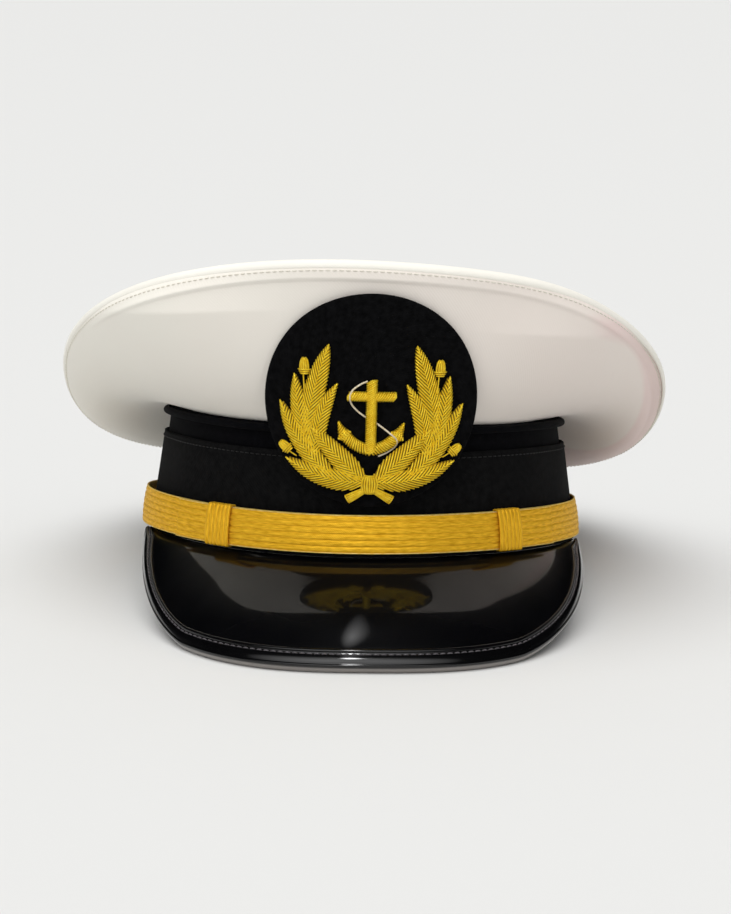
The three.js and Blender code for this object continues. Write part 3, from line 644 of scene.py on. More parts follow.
fold_row = np.argmin(np.abs(side_drop - FOLD_STITCH_DROP), 0)
columns = np.arange(len(ROUND))
fold_line = side_face[fold_row, columns]
fold_out = crown_out(ROUND, wall_steps)[fold_row, columns]
top_line = crown_face(ROUND, welt_along(TOP_STITCH_SHARE))
top_out = crown_out(ROUND, welt_along(TOP_STITCH_SHARE))
white_thread = new_finish("white_thread", Roughness=0.6, Specular_IOR_Level=0.3)
shade(white_thread, mottle(white_thread, 0.8), (0.66, 0.62, 0.53), (0.78, 0.75, 0.66))
fold_stitches = stitch_row(fold_line, fold_out, **WHITE_STITCH)
top_stitches = stitch_row(top_line, top_out, **WHITE_STITCH)
add_piece("crown_stitches", [fold_stitches, top_stitches], white_thread, "crown_cloth")

# Peak: a stiff plate of black patent leather, sewn under the front of the band and bent round it. It slopes
# down to a rim that lies on the surface in the middle and climbs to the band at both ends.
PEAK_WALL = 2.2
PEAK_HALF_WIDTH = (88.4, 86.6)
PEAK_BACK = -22.0
PEAK_INNER_HALF_ANGLE = np.radians(78)
PEAK_SQUARENESS = 2.7
PEAK_FLAT_SHARE = (38 / 90, 29 / 90)
PEAK_RISE_EXPONENT = 1.3
PEAK_BULGE = 0.12
PEAK_ROLL = 6
PEAK_LIP = 1.6
RIM_HEIGHT = 2.7
BOUND_SHARE = 0.985


def peak_foot(share):
    """The peak's upper edge, just under the outer band's."""
    return band_face(share * PEAK_INNER_HALF_ANGLE, 0, OUTER_OFFSET) - np.array((0, 0, GAP))


def peak_rim(share):
    """The rim: a superellipse in plan, level with the surface in the middle and climbing to both ends."""
    angle = share * np.pi / 2
    half_width = np.where(share < 0, *PEAK_HALF_WIDTH)
    flat_share = np.where(share < 0, *PEAK_FLAT_SHARE)
    forward = PEAK_REACH + BAND_REACH + PEAK_BACK
    sideways = np.abs(np.sin(angle) / half_width) ** PEAK_SQUARENESS
    ahead = np.abs(np.cos(angle) / forward) ** PEAK_SQUARENESS
    radius = (sideways + ahead) ** (-1 / PEAK_SQUARENESS)
    y = PEAK_BACK - radius * np.cos(angle)
    climb = np.clip((np.abs(share) - flat_share) / (1 - flat_share), 0, 1) ** PEAK_RISE_EXPONENT
    low = (y * np.sin(TILT) - LIFT) / np.cos(TILT) + RIM_HEIGHT
    end = peak_foot(np.sign(share))[..., 2]
    return np.stack([radius * np.sin(angle), y, low + (end - low) * climb], -1)


def peak_chord(share):
    """Foot, chord, length and outward direction of the peak's section at a share of its width."""
    foot = peak_foot(share)
    chord = peak_rim(share) - foot
    length = np.linalg.norm(chord, axis=-1, keepdims=True)
    sideways = unit(np.cross(np.array((0, 0, 1.0)), chord))
    return foot, chord, length, unit(np.cross(chord, sideways))


def peak_point(share, along, offset):
    """A point of the peak: along its chord, raised so that the section sets off flatter and then rolls over
    towards the rim as a high power of the share along it, plus an offset. Where along is negative, the
    leather turns in level under the band, as far as the lip at -1."""
    foot, chord, length, out = peak_chord(share)
    down, inside = np.maximum(along, 0)[..., None], np.minimum(along, 0)[..., None]
    bulge = PEAK_BULGE * length * down * np.maximum(0, 1 - down**PEAK_ROLL)
    lip = PEAK_LIP * inside * unit(chord * (1, 1, 0))
    return foot + chord * down + lip + out * (bulge + np.asarray(offset)[..., None])


peak_shares = np.sin(np.linspace(-1, 1, 201) * np.pi / 2)[:, None]
bound_shares = BOUND_SHARE * peak_shares
down_peak = np.concatenate([[-1, -0.5], np.linspace(0, 1, 40)])
plate_depth = np.repeat((0, -PEAK_WALL, 0), (len(down_peak), len(down_peak), 1))
down_peak = np.concatenate([down_peak, down_peak[::-1], [-1]])
peak_plate = peak_point(peak_shares, *np.broadcast_arrays(down_peak, plate_depth))


def patent_leather(name):
    """Black leather under a clear coat, with the faint long waves of a lacquered hide."""
    gloss = {"Coat_Weight": 0.85, "Coat_Roughness": 0.05}
    finish = new_finish(name, Roughness=0.3, Specular_IOR_Level=0.1, **gloss)
    emboss(finish, mottle(finish, 11, 1.0), 0.10, 0.6)
    return finish


patent = patent_leather("patent_leather")
shade(patent, mottle(patent, 30, 2.0), (0.0012, 0.0013, 0.0018), (0.0028, 0.0028, 0.0032))
add_piece("peak_leather", [close_ends(peak_plate[None])], patent, "patent_leather", "peak")

# Binding: a narrow strip of patent leather folded over the peak's rim and sewn through along its inner
# edge. Its underside is pressed flat where the peak rests, and below the bead its nose is painted grey, a
# painted reflection of the pale floor.
BINDING_WALL = 0.9
BINDING_LEG = 5.5
BINDING_END_SHARE = 0.7
BINDING_CLEARANCE = 0.4
# The lip along the inner edge and the bead at the rim: their places are shares of the leg.
BINDING_LIP = {"height": 0.34, "middle": 0.86, "width": 0.28}
BINDING_BEAD = 0.6
BINDING_GROOVE = 0.1
BINDING_NOSE = 0.7
BINDING_STITCH = {"pitch": 2.7, "length": 2.1, "radius": 0.3}
BINDING_STITCH_FROM_RIM = 3.4
BINDING_STITCH_SHARE = 0.62
BINDING_STITCH_LIFT = 0.15
# Columns of the binding's outline between which its black gives way to painted grey, a painted reflection
# of the floor.
FLOOR_REFLECTION_COLUMNS = (44, 46)


def binding_outline():
    """A cut through the binding: over a lip, down into the groove of the seam and up on a rounded bead,
    round the nose in half an oval, back along the lower leg and out again inside. Each point is a reach
    past the rim, a share of the leg and an offset."""
    near, far = BINDING_CLEARANCE, BINDING_CLEARANCE + BINDING_WALL
    nose = np.linspace(np.pi / 2, -np.pi / 2, 19)
    middle, half = -PEAK_WALL / 2, PEAK_WALL / 2 + far
    shares = np.linspace(1, 0, 40)[:-1]
    across_lip = (shares - BINDING_LIP["middle"]) / BINDING_LIP["width"] + 0.5
    lip = BINDING_LIP["height"] * np.sin(np.pi * np.clip(across_lip, 0, 1))
    bead = np.sqrt(np.clip(1 - (shares / BINDING_BEAD) ** 2, 0, 1))
    upper = near + BINDING_GROOVE + np.maximum(lip, (BINDING_WALL - BINDING_GROOVE) * bead)
    past = [*np.zeros(len(shares)), *(far * np.cos(nose) ** BINDING_NOSE), 0, 0, near, near, 0, 0]
    legs = [*shares, *np.zeros(len(nose)), 1, 1, 0, 0, 1, 1]
    offsets = [*upper, *(middle + half * np.sin(nose))]
    offsets += [middle - half, -PEAK_WALL - near, -PEAK_WALL - near, near, near, upper[0]]
    return np.array(past), np.array(legs), np.array(offsets)


past_rim, leg_share, binding_offset = binding_outline()
chord_length = peak_chord(bound_shares)[2][..., 0]
leg = np.minimum(BINDING_LEG, BINDING_END_SHARE * chord_length)
binding_along = 1 + (past_rim - leg_share * leg) / chord_length
binding_offset = np.broadcast_to(binding_offset, binding_along.shape)
binding = pressed_flat(peak_point(bound_shares, binding_along, binding_offset))
binding_grid = close_ends(binding[None])
reflection_from, reflection_to = cloth_map(binding_grid)[0, 0, FLOOR_REFLECTION_COLUMNS, 0]
bound_patent = patent_leather("bound_patent_leather")
across_map = add_node(bound_patent, "UVMap", {}, uv_map="cloth").outputs["UV"]
across_binding = add_node(bound_patent, "SeparateXYZ", {"Vector": across_map}).outputs["X"]
painted_floor_reflection = between(bound_patent, across_binding, reflection_from, reflection_to)
# The grey end of this ramp is a painted reflection of the floor on the binding's lower nose.
shade(bound_patent, painted_floor_reflection, (0.0020, 0.0020, 0.0024), (0.25, 0.23, 0.215), 0.0, 1.0)
add_piece("peak_binding_leather", [binding_grid], bound_patent, "patent_leather", "peak_binding")

sewn_along = 1 - np.minimum(BINDING_STITCH_FROM_RIM, BINDING_STITCH_SHARE * leg) / chord_length
sewn_offset = np.full_like(sewn_along, BINDING_CLEARANCE + BINDING_STITCH_LIFT)
sewn_line = peak_point(bound_shares, sewn_along, sewn_offset)[:, 0]
sewn_out = peak_chord(bound_shares)[3][:, 0]
# Its grey is the thread's own dark colour lightened by a painted sheen, so the stitches show as glinting
# dashes.
waxed_thread = new_finish("waxed_thread", Roughness=0.25, Specular_IOR_Level=0.7)
shade(waxed_thread, mottle(waxed_thread, 0.6), (0.04, 0.036, 0.04), (0.11, 0.10, 0.11))
peak_stitches = stitch_row(sewn_line, sewn_out, **BINDING_STITCH)
add_piece("peak_stitches", [peak_stitches], waxed_thread, "patent_leather")

# Chin strap: two layers of flat gold braid, each woven of six cords side by side with a pale thread along
# both edges. The under layer runs from button to button, and the outer one ends in a tail on either side.
STRAP_LOW = 1.9
STRAP_HIGH = 16.2
STRAP_WALL = 1.2
STRAP_STAND_OFF = 1.1
STRAP_CROWN = 0.5
STRAP_SLACK = 2.0
STRAP_END = np.radians(115)
STRAP_TAIL = np.radians(54)
STRAP_CORDS = 6
STRAP_END_ANGLE = 0.008
CORD_DEPTH = 0.42
CORD_LEVEL = 0.7
CORD_ROUNDNESS = 3.6
EDGING_RADIUS = 0.26
EDGING_OUT = 0.6
BRAID = {"dark": (0.66, 0.33, 0.008), "light": (1.0, 0.59, 0.035), "metal": 0.45,
         "roughness": 0.50, "thread": 0.45}
BRAID_GRAIN = (0.6, 4.0)
EDGING = {"dark": (0.80, 0.52, 0.07), "light": (1.0, 0.80, 0.30), "metal": 0.6,
          "roughness": 0.4, "thread": 0.3}
EVEN_GRAIN = (2.2, 2.2)
GOLD_TINT = (1.0, 0.8, 0.2, 1)


def strap_face(angle, height, offset):
    """Over the outer band, with room behind for the back of a slider; towards -X it bows out further, as
    the cube of the angle's sine."""
    slack = STRAP_SLACK * np.maximum(0, -np.sin(angle)) ** 3
    return band_face(angle, height, OUTER_OFFSET + STRAP_STAND_OFF + slack + offset)


def cords(share, count):
    """Rounded ridges side by side: one arch for each cord as share goes from 0 to 1."""
    return 1 - np.abs(2 * ((share * count) % 1) - 1) ** CORD_ROUNDNESS


def braid_strip(end, offset, steps):
    """A strip of braid from one end to the other: a crowned, ribbed front and a plain back that meet along
    both edges, drawn together at the ends."""
    share = np.linspace(0, 1, 9 * STRAP_CORDS + 1)
    height = STRAP_LOW + (STRAP_HIGH - STRAP_LOW) * share
    crowned = STRAP_CROWN * (1 - (2 * share - 1) ** 2)
    front = STRAP_WALL - STRAP_CROWN + crowned + CORD_DEPTH * (cords(share, STRAP_CORDS) - CORD_LEVEL)
    tail = np.linspace(end - STRAP_END_ANGLE, end, 6)
    turn = np.sort(np.concatenate([-tail, np.linspace(-end, end, steps)[1:-1], tail]))[:, None]
    close = np.sqrt(np.clip((end - np.abs(turn)) / STRAP_END_ANGLE, 0, 1))
    outside = strap_face(turn, height, offset + front * close)
    inside = strap_face(turn, height, offset + 0 * close)
    return np.concatenate([outside, inside[:, ::-1], outside[:, :1]], 1)


def gold_finish(name, dark, light, metal, roughness, thread, grain):
    """Gold wire thread: warm metal ridged by its winding, whose tone changes from strand to strand in spots
    that are as long and as wide on the map as the grain says."""
    finish = new_finish(name, Metallic=metal, Roughness=roughness, Specular_Tint=GOLD_TINT)
    place = add_node(finish, "UVMap", {}, uv_map="cloth").outputs["UV"]
    scale = (*(1 / np.array(grain)), 1)
    strands = add_node(finish, "Mapping", {"Vector": place, "Scale": scale}).outputs["Vector"]
    tone = add_node(finish, "TexNoise", {"Vector": strands, "Scale": 1.0, "Detail": 4.0}).outputs["Fac"]
    shade(finish, tone, dark, light)
    emboss(finish, threads_of_cloth(finish, thread, 0.6), 0.05, 0.7)
    emboss(finish, mottle(finish, 0.4, 2.0), 0.03, 0.5)
    return finish


outer_layer = STRAP_WALL + GAP
gold_braid = gold_finish("gold_braid", **BRAID, grain=BRAID_GRAIN)
under_braid = braid_strip(STRAP_END, 0.0, 420)
over_braid = braid_strip(STRAP_TAIL, outer_layer, 300)
add_piece("strap_under_braid", [under_braid[None]], gold_braid, "gold_braid", "strap_under")
add_piece("strap_over_braid", [over_braid[None]], gold_braid, "gold_braid", "strap_over")

strap_edges = []
for end, offset in ((STRAP_END, 0.0), (STRAP_TAIL, outer_layer)):
    turn = np.linspace(-end, end, 300)
    edge_heights = np.array((STRAP_LOW, STRAP_HIGH))[:, None]
    edge_paths = strap_face(turn, edge_heights, offset + EDGING_OUT)
    edge_out = unit(strap_face(turn, edge_heights, 1.0) - strap_face(turn, edge_heights, 0.0))
    strap_edges.append(threads(edge_paths, edge_out, EDGING_RADIUS))
pale_gold = gold_finish("pale_gold", **EDGING, grain=EVEN_GRAIN)
add_piece("strap_edging", strap_edges, pale_gold, "gold_braid")

# Sliders: flat loops of the same gold cord, wound side by side round both layers of the strap, one on each
# side of the badge. They hold the layers together and slide along them.
SLIDER_ANGLE = {"left": np.radians(-38.8), "right": np.radians(36.9)}
SLIDER_HALF_ANGLE = np.radians(3.6)
SLIDER_WALL = 0.5
SLIDER_BULGE = 0.5
SLIDER_CORDS = 6
SLIDER_CORD_DEPTH = 0.5
SLIDER_CORD_LEVEL = 0.6
SLIDER_SQUARENESS = 7


def slider_loop(angle, grow):
    """A rounded oblong round the strap, a superellipse bulged in front, made larger all round by grow."""
    turn = np.linspace(0, 2 * np.pi, 97)
    power = SLIDER_SQUARENESS
    square = (np.abs(np.cos(turn)) ** power + np.abs(np.sin(turn)) ** power) ** (-1 / power)
    out, upwards = square * np.cos(turn), square * np.sin(turn)
    back, front = -GAP, outer_layer + STRAP_WALL + GAP
    middle = (STRAP_LOW + STRAP_HIGH) / 2
    offset = (front + back) / 2 + out * ((front - back) / 2 + grow)
    offset = offset + SLIDER_BULGE * np.maximum(out, 0) * (1 - upwards**2)
    return strap_face(angle, middle + upwards * ((STRAP_HIGH - STRAP_LOW) / 2 + GAP + grow), offset)


def slider(middle):
    """The loop carried across the slider's width: out over the cords and back along a plain inside."""
    share = np.linspace(0, 1, 10 * SLIDER_CORDS + 1)[:, None]
    angle = middle + SLIDER_HALF_ANGLE * (2 * share - 1)
    ribs = SLIDER_CORD_DEPTH * (cords(share, SLIDER_CORDS) - SLIDER_CORD_LEVEL)
    outside = slider_loop(angle, SLIDER_WALL + ribs)
    inside = slider_loop(angle[::-1], 0.0)
    return np.concatenate([outside, inside, outside[:1]])


wound_braid = gold_finish("wound_braid", **BRAID, grain=BRAID_GRAIN[::-1])
for name, middle in SLIDER_ANGLE.items():
    node = f"slider_{name}"
    add_piece(f"{node}_cord", [slider(middle)[None]], wound_braid, "gold_braid", node)

# Side buttons: plain domed buttons of gilt brass, pressed with a raised rim and a groove inside it. They
# are sewn to the band and hold the strap's two ends against it.
BUTTON_RADIUS = 7.0
BUTTON_HEIGHT = 4.2
BUTTON_RIM = 1.2
BUTTON_BEAD = 0.6
BUTTON_BEAD_TURN = np.pi * 0.8
BUTTON_DOME = 0.86
BUTTON_ANGLE = STRAP_END - np.radians(4.6)


def side_button(side):
    """A profile turned about the button's axis: a flat back, a rounded rim, a groove and a dome."""
    turn = np.linspace(0, np.pi / 2, 22)
    bead = np.linspace(-np.pi / 2, BUTTON_BEAD_TURN, 12)
    rim_radius = BUTTON_RADIUS - BUTTON_BEAD + BUTTON_BEAD * np.cos(bead)
    radius = np.concatenate([[0], rim_radius, BUTTON_DOME * BUTTON_RADIUS * np.cos(turn)])
    dome = BUTTON_RIM + (BUTTON_HEIGHT - BUTTON_RIM) * np.sin(turn)
    height = np.concatenate([[0], BUTTON_BEAD + BUTTON_BEAD * np.sin(bead), dome])
    radius[-1] = 0
    angle = side * BUTTON_ANGLE
    middle = (STRAP_LOW + STRAP_HIGH) / 2
    seat = strap_face(angle, middle, STRAP_WALL + GAP + STRAP_CROWN)
    away = unit(band_face(angle, middle, 1.0) - band_face(angle, middle, 0.0))
    beside = np.array((-away[1], away[0], 0))
    spin = np.linspace(0, 2 * np.pi, 49)[None, :, None]
    ring = np.cos(spin) * beside + np.sin(spin) * np.array((0, 0, 1.0))
    return seat + height[:, None, None] * away + radius[:, None, None] * ring


gilt = new_finish("gilt", Metallic=1.0, Roughness=0.24)
shade(gilt, mottle(gilt, 3.0), (0.62, 0.38, 0.10), (0.76, 0.50, 0.16))
emboss(gilt, mottle(gilt, 1.5), 0.02, 0.4)
for name, side in (("left", -1), ("right", 1)):
    node = f"side_button_{name}"
    add_piece(f"{node}_gilt", [side_button(side)[None]], gilt, "gilt", node)

# Badge patch: a round of stiffened black felt, bent with the front of the crown and leaning as it does. It
# is sewn on over the band and the foot of the crown.
PATCH_RADIUS = 40.4
PATCH_WALL = 2.2
PATCH_EDGE = 0.8
PATCH_BEND = 92.0
PATCH_LEAN = np.radians(10.8)
PATCH_CENTRE = np.array((0.4, -114.3, 60.2))
PATCH_TURN = np.radians(0.75)


def lean_out(x, y, z):
    """Turns a point about the badge's level axis until the badge leans with the crown."""
    back = y * np.cos(PATCH_LEAN) - z * np.sin(PATCH_LEAN)
    return np.stack([x, back, y * np.sin(PATCH_LEAN) + z * np.cos(PATCH_LEAN)], -1)


def patch_place(spots):
    """Places over the patch, (right, up, height from its back), turned a little as it is sewn on, wrapped
    round a cylinder and leaned."""
    right, up, height = np.moveaxis(spots, -1, 0)
    turn = (right * np.cos(PATCH_TURN) + up * np.sin(PATCH_TURN)) / PATCH_BEND
    upright = up * np.cos(PATCH_TURN) - right * np.sin(PATCH_TURN)
    radius = PATCH_BEND + height
    return PATCH_CENTRE + lean_out(radius * np.sin(turn), PATCH_BEND - radius * np.cos(turn), upright)


def patch_out(spots):
    """The way out of the patch at those places."""
    turn = spots[..., 0] / PATCH_BEND
    return lean_out(np.sin(turn), -np.cos(turn), 0 * turn)


edge_turn = np.linspace(np.pi / 2, -np.pi / 2, 13)
face_radii = np.linspace(0, PATCH_RADIUS - PATCH_EDGE, 26)[:-1]
edge_radii = PATCH_RADIUS - PATCH_EDGE + PATCH_EDGE * np.cos(edge_turn)
edge_heights = PATCH_WALL / 2 + PATCH_WALL / 2 * np.sin(edge_turn)
patch_radii = np.concatenate([face_radii, edge_radii, face_radii[::-1]])[:, None]
patch_heights = np.concatenate([PATCH_WALL + 0 * face_radii, edge_heights, 0 * face_radii])[:, None]
spin = np.linspace(0, 2 * np.pi, 181)
patch_spots = np.broadcast_arrays(patch_radii * np.cos(spin), patch_radii * np.sin(spin), patch_heights)
patch = patch_place(np.stack(patch_spots, -1))
badge_felt = black_cloth("badge_felt", (0.0010, 0.0010, 0.0012), (0.0045, 0.0045, 0.0050), 0.06)
add_piece("badge_patch_felt", [patch[None]], badge_felt, "badge_felt", "badge_patch")

# Wreath: two branches of leaves and acorns in gold bullion, short lengths of coiled wire laid side by side
# over yellow felt padding. Each leaf is sewn down as a herringbone from its midrib, and the branches mirror
# each other.
RELIEF_FOOT = PATCH_WALL + GAP
RELIEF_LAYER = 0.24
PADDING_EDGE = 0.25
PADDING_ROUNDNESS = 2.2
PADDING_ENDS = (0.01, 0.97)
PADDING_REACH = 0.93
BOW_STRETCH = 1 / 15
WIRE_RADIUS = 0.37
WIRE_LIFT = 0.55
WIRE_TAPER = 0.7
WIRE_SPREAD = 0.86
SATIN_PITCH = 0.8
THINNEST = 0.05
LEAF_HEIGHT = 1.0
LEAF_FOOT = 0.45
LEAF_FULL = 0.35
LEAF_POINT = 8.0
LEAF_LEAN = np.radians(31)
LEAF_PITCH = 1.72
# Shares of a leaf: where its first wire ends, its last one starts and the wire along the tip starts, and
# how far the wires reach over the midrib.
LEAF_WIRES = {"first_end": 0.03, "last_root": 0.97, "tip": 0.88, "overlap": 0.12}
# Leaves of one branch: where each starts and ends on the patch, its width, and how far it bows.
LEAVES = [
    {"base": (-24.0, -13.5), "tip": (-15.7, 21.5), "width": 9.0, "bow": 0.8},
    {"base": (-22.5, -19.0), "tip": (-28.1, 9.8), "width": 8.0, "bow": 0.7},
    {"base": (-20.5, -21.0), "tip": (-12.3, 7.0), "width": 7.4, "bow": 1.8},
    {"base": (-13.0, -29.0), "tip": (-33.1, -0.6), "width": 8.0, "bow": 2.4},
    {"base": (-2.6, -29.6), "tip": (-21.5, -9.8), "width": 9.4, "bow": 0.3},
    {"base": (-2.2, -30.0), "tip": (-30.4, -22.2), "width": 9.0, "bow": 2.5},
]
# Acorns: the foot of the stem, the cup and the end of the nut.
ACORNS = [
    {"stem": (-23.9, 2.8), "cup": (-24.4, 10.0), "end": (-24.5, 16.0)},
    {"stem": (-26.4, -21.4), "cup": (-29.2, -19.8), "end": (-32.9, -16.7)},
]
# Parts of an acorn: full width, height of the padding and radius of the wire.
ACORN = {
    "stem": {"width": 0.9, "height": 0.1, "wire": 0.28},
    "cup": {"width": 4.7, "height": 0.8, "wire": 0.36},
    "nut": {"width": 3.4, "height": 0.7, "wire": 0.39},
}
ACORN_LAYER = 4
CUP_LENGTH = 1.5
CUP_FOOT = 0.66
CUP_PITCH = 0.45
NUT_WIRES = 5
GOLD_WIRE = {"dark": (0.82, 0.50, 0.009), "light": (1.0, 0.76, 0.06), "metal": 0.6,
             "roughness": 0.30, "thread": 0.2}


def strip(base, tip, width, height, bow=0.0, layer=0.0, side=1):
    """A raised strip of embroidery from base to tip: width is a function of the share along it, bow pushes
    its middle to the left, layer lifts it over strips sewn earlier, and side -1 mirrors it."""
    mirror = np.array((side, 1.0))
    foot = RELIEF_FOOT + RELIEF_LAYER * layer
    return {"base": mirror * base, "tip": mirror * tip, "width": width, "height": height, "bow": side * bow,
            "foot": foot}


def strip_spot(piece, share, across):
    """A place on a strip's padding: share along its quadratic line, across from -1 to 1 of its half width,
    on a crown that falls off to its edges."""
    share, across = np.broadcast_arrays(share, across)
    chord = piece["tip"] - piece["base"]
    left = unit(np.array((-chord[1], chord[0])))
    middle = (piece["base"] + piece["tip"]) / 2 + 2 * piece["bow"] * left
    t = share[..., None]
    line = (1 - t) ** 2 * piece["base"] + 2 * t * (1 - t) * middle + t**2 * piece["tip"]
    ahead = unit((1 - t) * (middle - piece["base"]) + t * (piece["tip"] - middle))
    sideways = np.stack([ahead[..., 1], -ahead[..., 0]], -1)
    spot = line + sideways * (across * piece["width"](share) / 2)[..., None]
    crest = PADDING_EDGE + piece["height"] * (1 - np.abs(across) ** PADDING_ROUNDNESS)
    return np.concatenate([spot, (piece["foot"] + crest)[..., None]], -1)


def strip_length(piece):
    """Roughly the length of a strip's line: its chord and a little more for the square of the bow."""
    return np.linalg.norm(piece["tip"] - piece["base"]) + BOW_STRETCH * piece["bow"] ** 2


def padding(piece):
    """The felt under the wire: the strip's crowned top and a flat bottom, drawn together at the ends."""
    share = np.linspace(*PADDING_ENDS, 25)[:, None]
    across = np.linspace(-PADDING_REACH, PADDING_REACH, 11)
    top = strip_spot(piece, share, across)
    bottom = strip_spot(piece, share, across[::-1])
    bottom[..., 2] = piece["foot"] - GAP
    return close_ends(patch_place(np.concatenate([top, bottom, top[:, :1]], 1))[None])


def wire(spots, radius=WIRE_RADIUS, lift=WIRE_LIFT):
    """Bullion along places on the patch, lifted by a part of its radius and thinner at both ends."""
    taper = radius * np.array([WIRE_TAPER, *np.ones(spots.shape[1] - 2), WIRE_TAPER])
    out = patch_out(spots)
    return threads(patch_place(spots) + lift * radius * out, out, taper)


def herringbone(piece, pitch=LEAF_PITCH):
    """Wires from just across the midrib out to both edges in turn, all leaning alike towards the tip, so
    that they shorten as the leaf narrows. Those at the foot start part way out, and one last wire lies
    along the tip. Where a wire meets the edge is found by halving the error a few times."""
    length = strip_length(piece)
    advance = 1 / np.tan(LEAF_LEAN) / length
    strands = [strip_spot(piece, np.linspace(LEAF_WIRES["tip"], 1, 8)[None], np.zeros((1, 8)))]
    for side in (-1, 1):
        first = -piece["width"](0.5) / 2 * advance + (side > 0) * pitch / length / 2
        root = np.arange(first, LEAF_WIRES["last_root"], pitch / length)[:, None]
        end = root
        for turn in range(16):
            end = (end + root + advance * piece["width"](np.clip(end, 0, 1)) / 2) / 2
        on_leaf = end[:, 0] > LEAF_WIRES["first_end"]
        root, end = root[on_leaf], end[on_leaf]
        start = np.maximum(-LEAF_WIRES["overlap"], -root / (end - root))
        out = start + (1 - start) * np.linspace(0, 1, 8)
        share = np.clip(root + (end - root) * out, 0, 1)
        reach = piece["width"](np.clip(end, 0, 1)) * out / piece["width"](share)
        strands.append(strip_spot(piece, share, side * np.minimum(reach, 1)))
    return np.concatenate(strands)


def satin(piece, pitch=SATIN_PITCH, slant=0.0):
    """Wires from edge to edge side by side; slant is how far each advances along the strip from the middle
    to an edge."""
    length = strip_length(piece)
    across = np.linspace(-1, 1, 9)
    middle = np.linspace(0, 1, max(int(length / pitch), 2))[:, None]
    return strip_spot(piece, np.clip(middle + slant / length * across, 0, 1), across)


def lengthwise(piece, count):
    """Wires that run the length of a strip, side by side across it."""
    across = np.linspace(-1, 1, count)[:, None] * WIRE_SPREAD
    return strip_spot(piece, np.linspace(0, 1, 12), across)


def leaf_width(leaf):
    """The width of one leaf as a function of the share along it."""
    length = np.linalg.norm(np.subtract(leaf["tip"], leaf["base"]))

    def width(share):
        """A quarter of a sine from the narrow foot until it is full, drawn in to a point at the tip by an
        exponential that grows towards it."""
        start = LEAF_FOOT + (1 - LEAF_FOOT) * np.sin(np.pi / 2 * np.clip(share / LEAF_FULL, 0, 1))
        return leaf["width"] * np.maximum(THINNEST, start * (1 - np.exp((share - 1) * length / LEAF_POINT)))

    return width


def even_width(full):
    """The same width all along a strip."""
    return lambda share: full + 0 * share


def cup_width(share):
    """A cup that widens evenly from its foot to its rim."""
    return ACORN["cup"]["width"] * (CUP_FOOT + (1 - CUP_FOOT) * share)


def nut_width(share):
    """A nut that keeps its width and then rounds off: the root of one less the share's cube."""
    return ACORN["nut"]["width"] * np.sqrt(np.maximum(THINNEST, 1 - share**3))


def acorn(stem, cup, end, side):
    """A stem of one wire, a cup of three laid across, and a nut of wires along it: the wires, then the
    felt."""
    stem, cup, end = np.array(stem), np.array(cup), np.array(end)
    cup_end = cup + unit(end - cup) * CUP_LENGTH
    lines = {"stem": (stem, cup, even_width(ACORN["stem"]["width"])), "cup": (cup, cup_end, cup_width),
             "nut": (cup_end, end, nut_width)}
    shapes = {part: strip(*line, ACORN[part]["height"], layer=ACORN_LAYER, side=side)
              for part, line in lines.items()}
    spots = {"nut": lengthwise(shapes["nut"], NUT_WIRES), "cup": satin(shapes["cup"], CUP_PITCH),
             "stem": lengthwise(shapes["stem"], 1)}
    return [wire(place, ACORN[part]["wire"]) for part, place in spots.items()], [padding(shapes["nut"])]


def branch(side):
    """Leaves in the order they are sewn, each over the one before, then the acorns: all the wires, then the
    felt under them."""
    wires, felt = [], []
    for layer, leaf in enumerate(LEAVES):
        shape = strip(leaf["base"], leaf["tip"], leaf_width(leaf), LEAF_HEIGHT, leaf["bow"], layer, side)
        wires.append(wire(herringbone(shape)))
        felt.append(padding(shape))
    for place in ACORNS:
        nut_wires, nut_felt = acorn(**place, side=side)
        wires += nut_wires
        felt += nut_felt
    return wires, felt


gold_wire = gold_finish("gold_wire", **GOLD_WIRE, grain=EVEN_GRAIN)
# The felt's colour is its own yellow darkened to brown by painted shade, standing for the gaps between the
# wires.
felt_and_painted_shade = new_finish("felt_and_painted_shade", Roughness=0.8, Specular_IOR_Level=0.1)
shade(felt_and_painted_shade, mottle(felt_and_painted_shade, 0.7), (0.13, 0.075, 0.006), (0.24, 0.145, 0.014))
for name, side in (("left", 1), ("right", -1)):
    wires, felt = branch(side)
    add_piece(f"wreath_{name}_wire", wires, gold_wire, "gold_wire", f"wreath_{name}")
    add_piece(f"wreath_{name}_felt", felt, felt_and_painted_shade, "gold_wire")

# Tie: the knot that holds the two branches together and the two cut stems below it, all in gold bullion
# laid lengthwise over padding, with one thin wire sewn across the end of each.
KNOT = {"base": (0, -34.4), "tip": (0, -27.4), "width": 6.2, "waist": 0.66, "height": 1.8, "layer": 7}
KNOT_WIRES = {"count": 7, "radius": 0.44}
CUT_STEM = {"base": (1.6, -33.2), "tip": (7.8, -36.9), "width": 2.0, "flare": 1.4, "height": 0.8,
            "layer": 6}
STEM_WIRES = 5
END_WIRE = {"radius": 0.3, "knot_lift": 1.4, "stem_lift": 1.2}


def knot_width(share):
    """A ball: narrow at both ends and swelling between them as half a sine."""
    return KNOT["width"] * (KNOT["waist"] + (1 - KNOT["waist"]) * np.sin(np.pi * share))


def stem_width(share):
    """A cut stem that flares evenly towards its end."""
    return CUT_STEM["width"] + CUT_STEM["flare"] * share


def end_wire(piece, lift):
    """One thin wire from edge to edge across the tip of a strip."""
    return wire(satin(piece, strip_length(piece))[-1:], END_WIRE["radius"], lift)


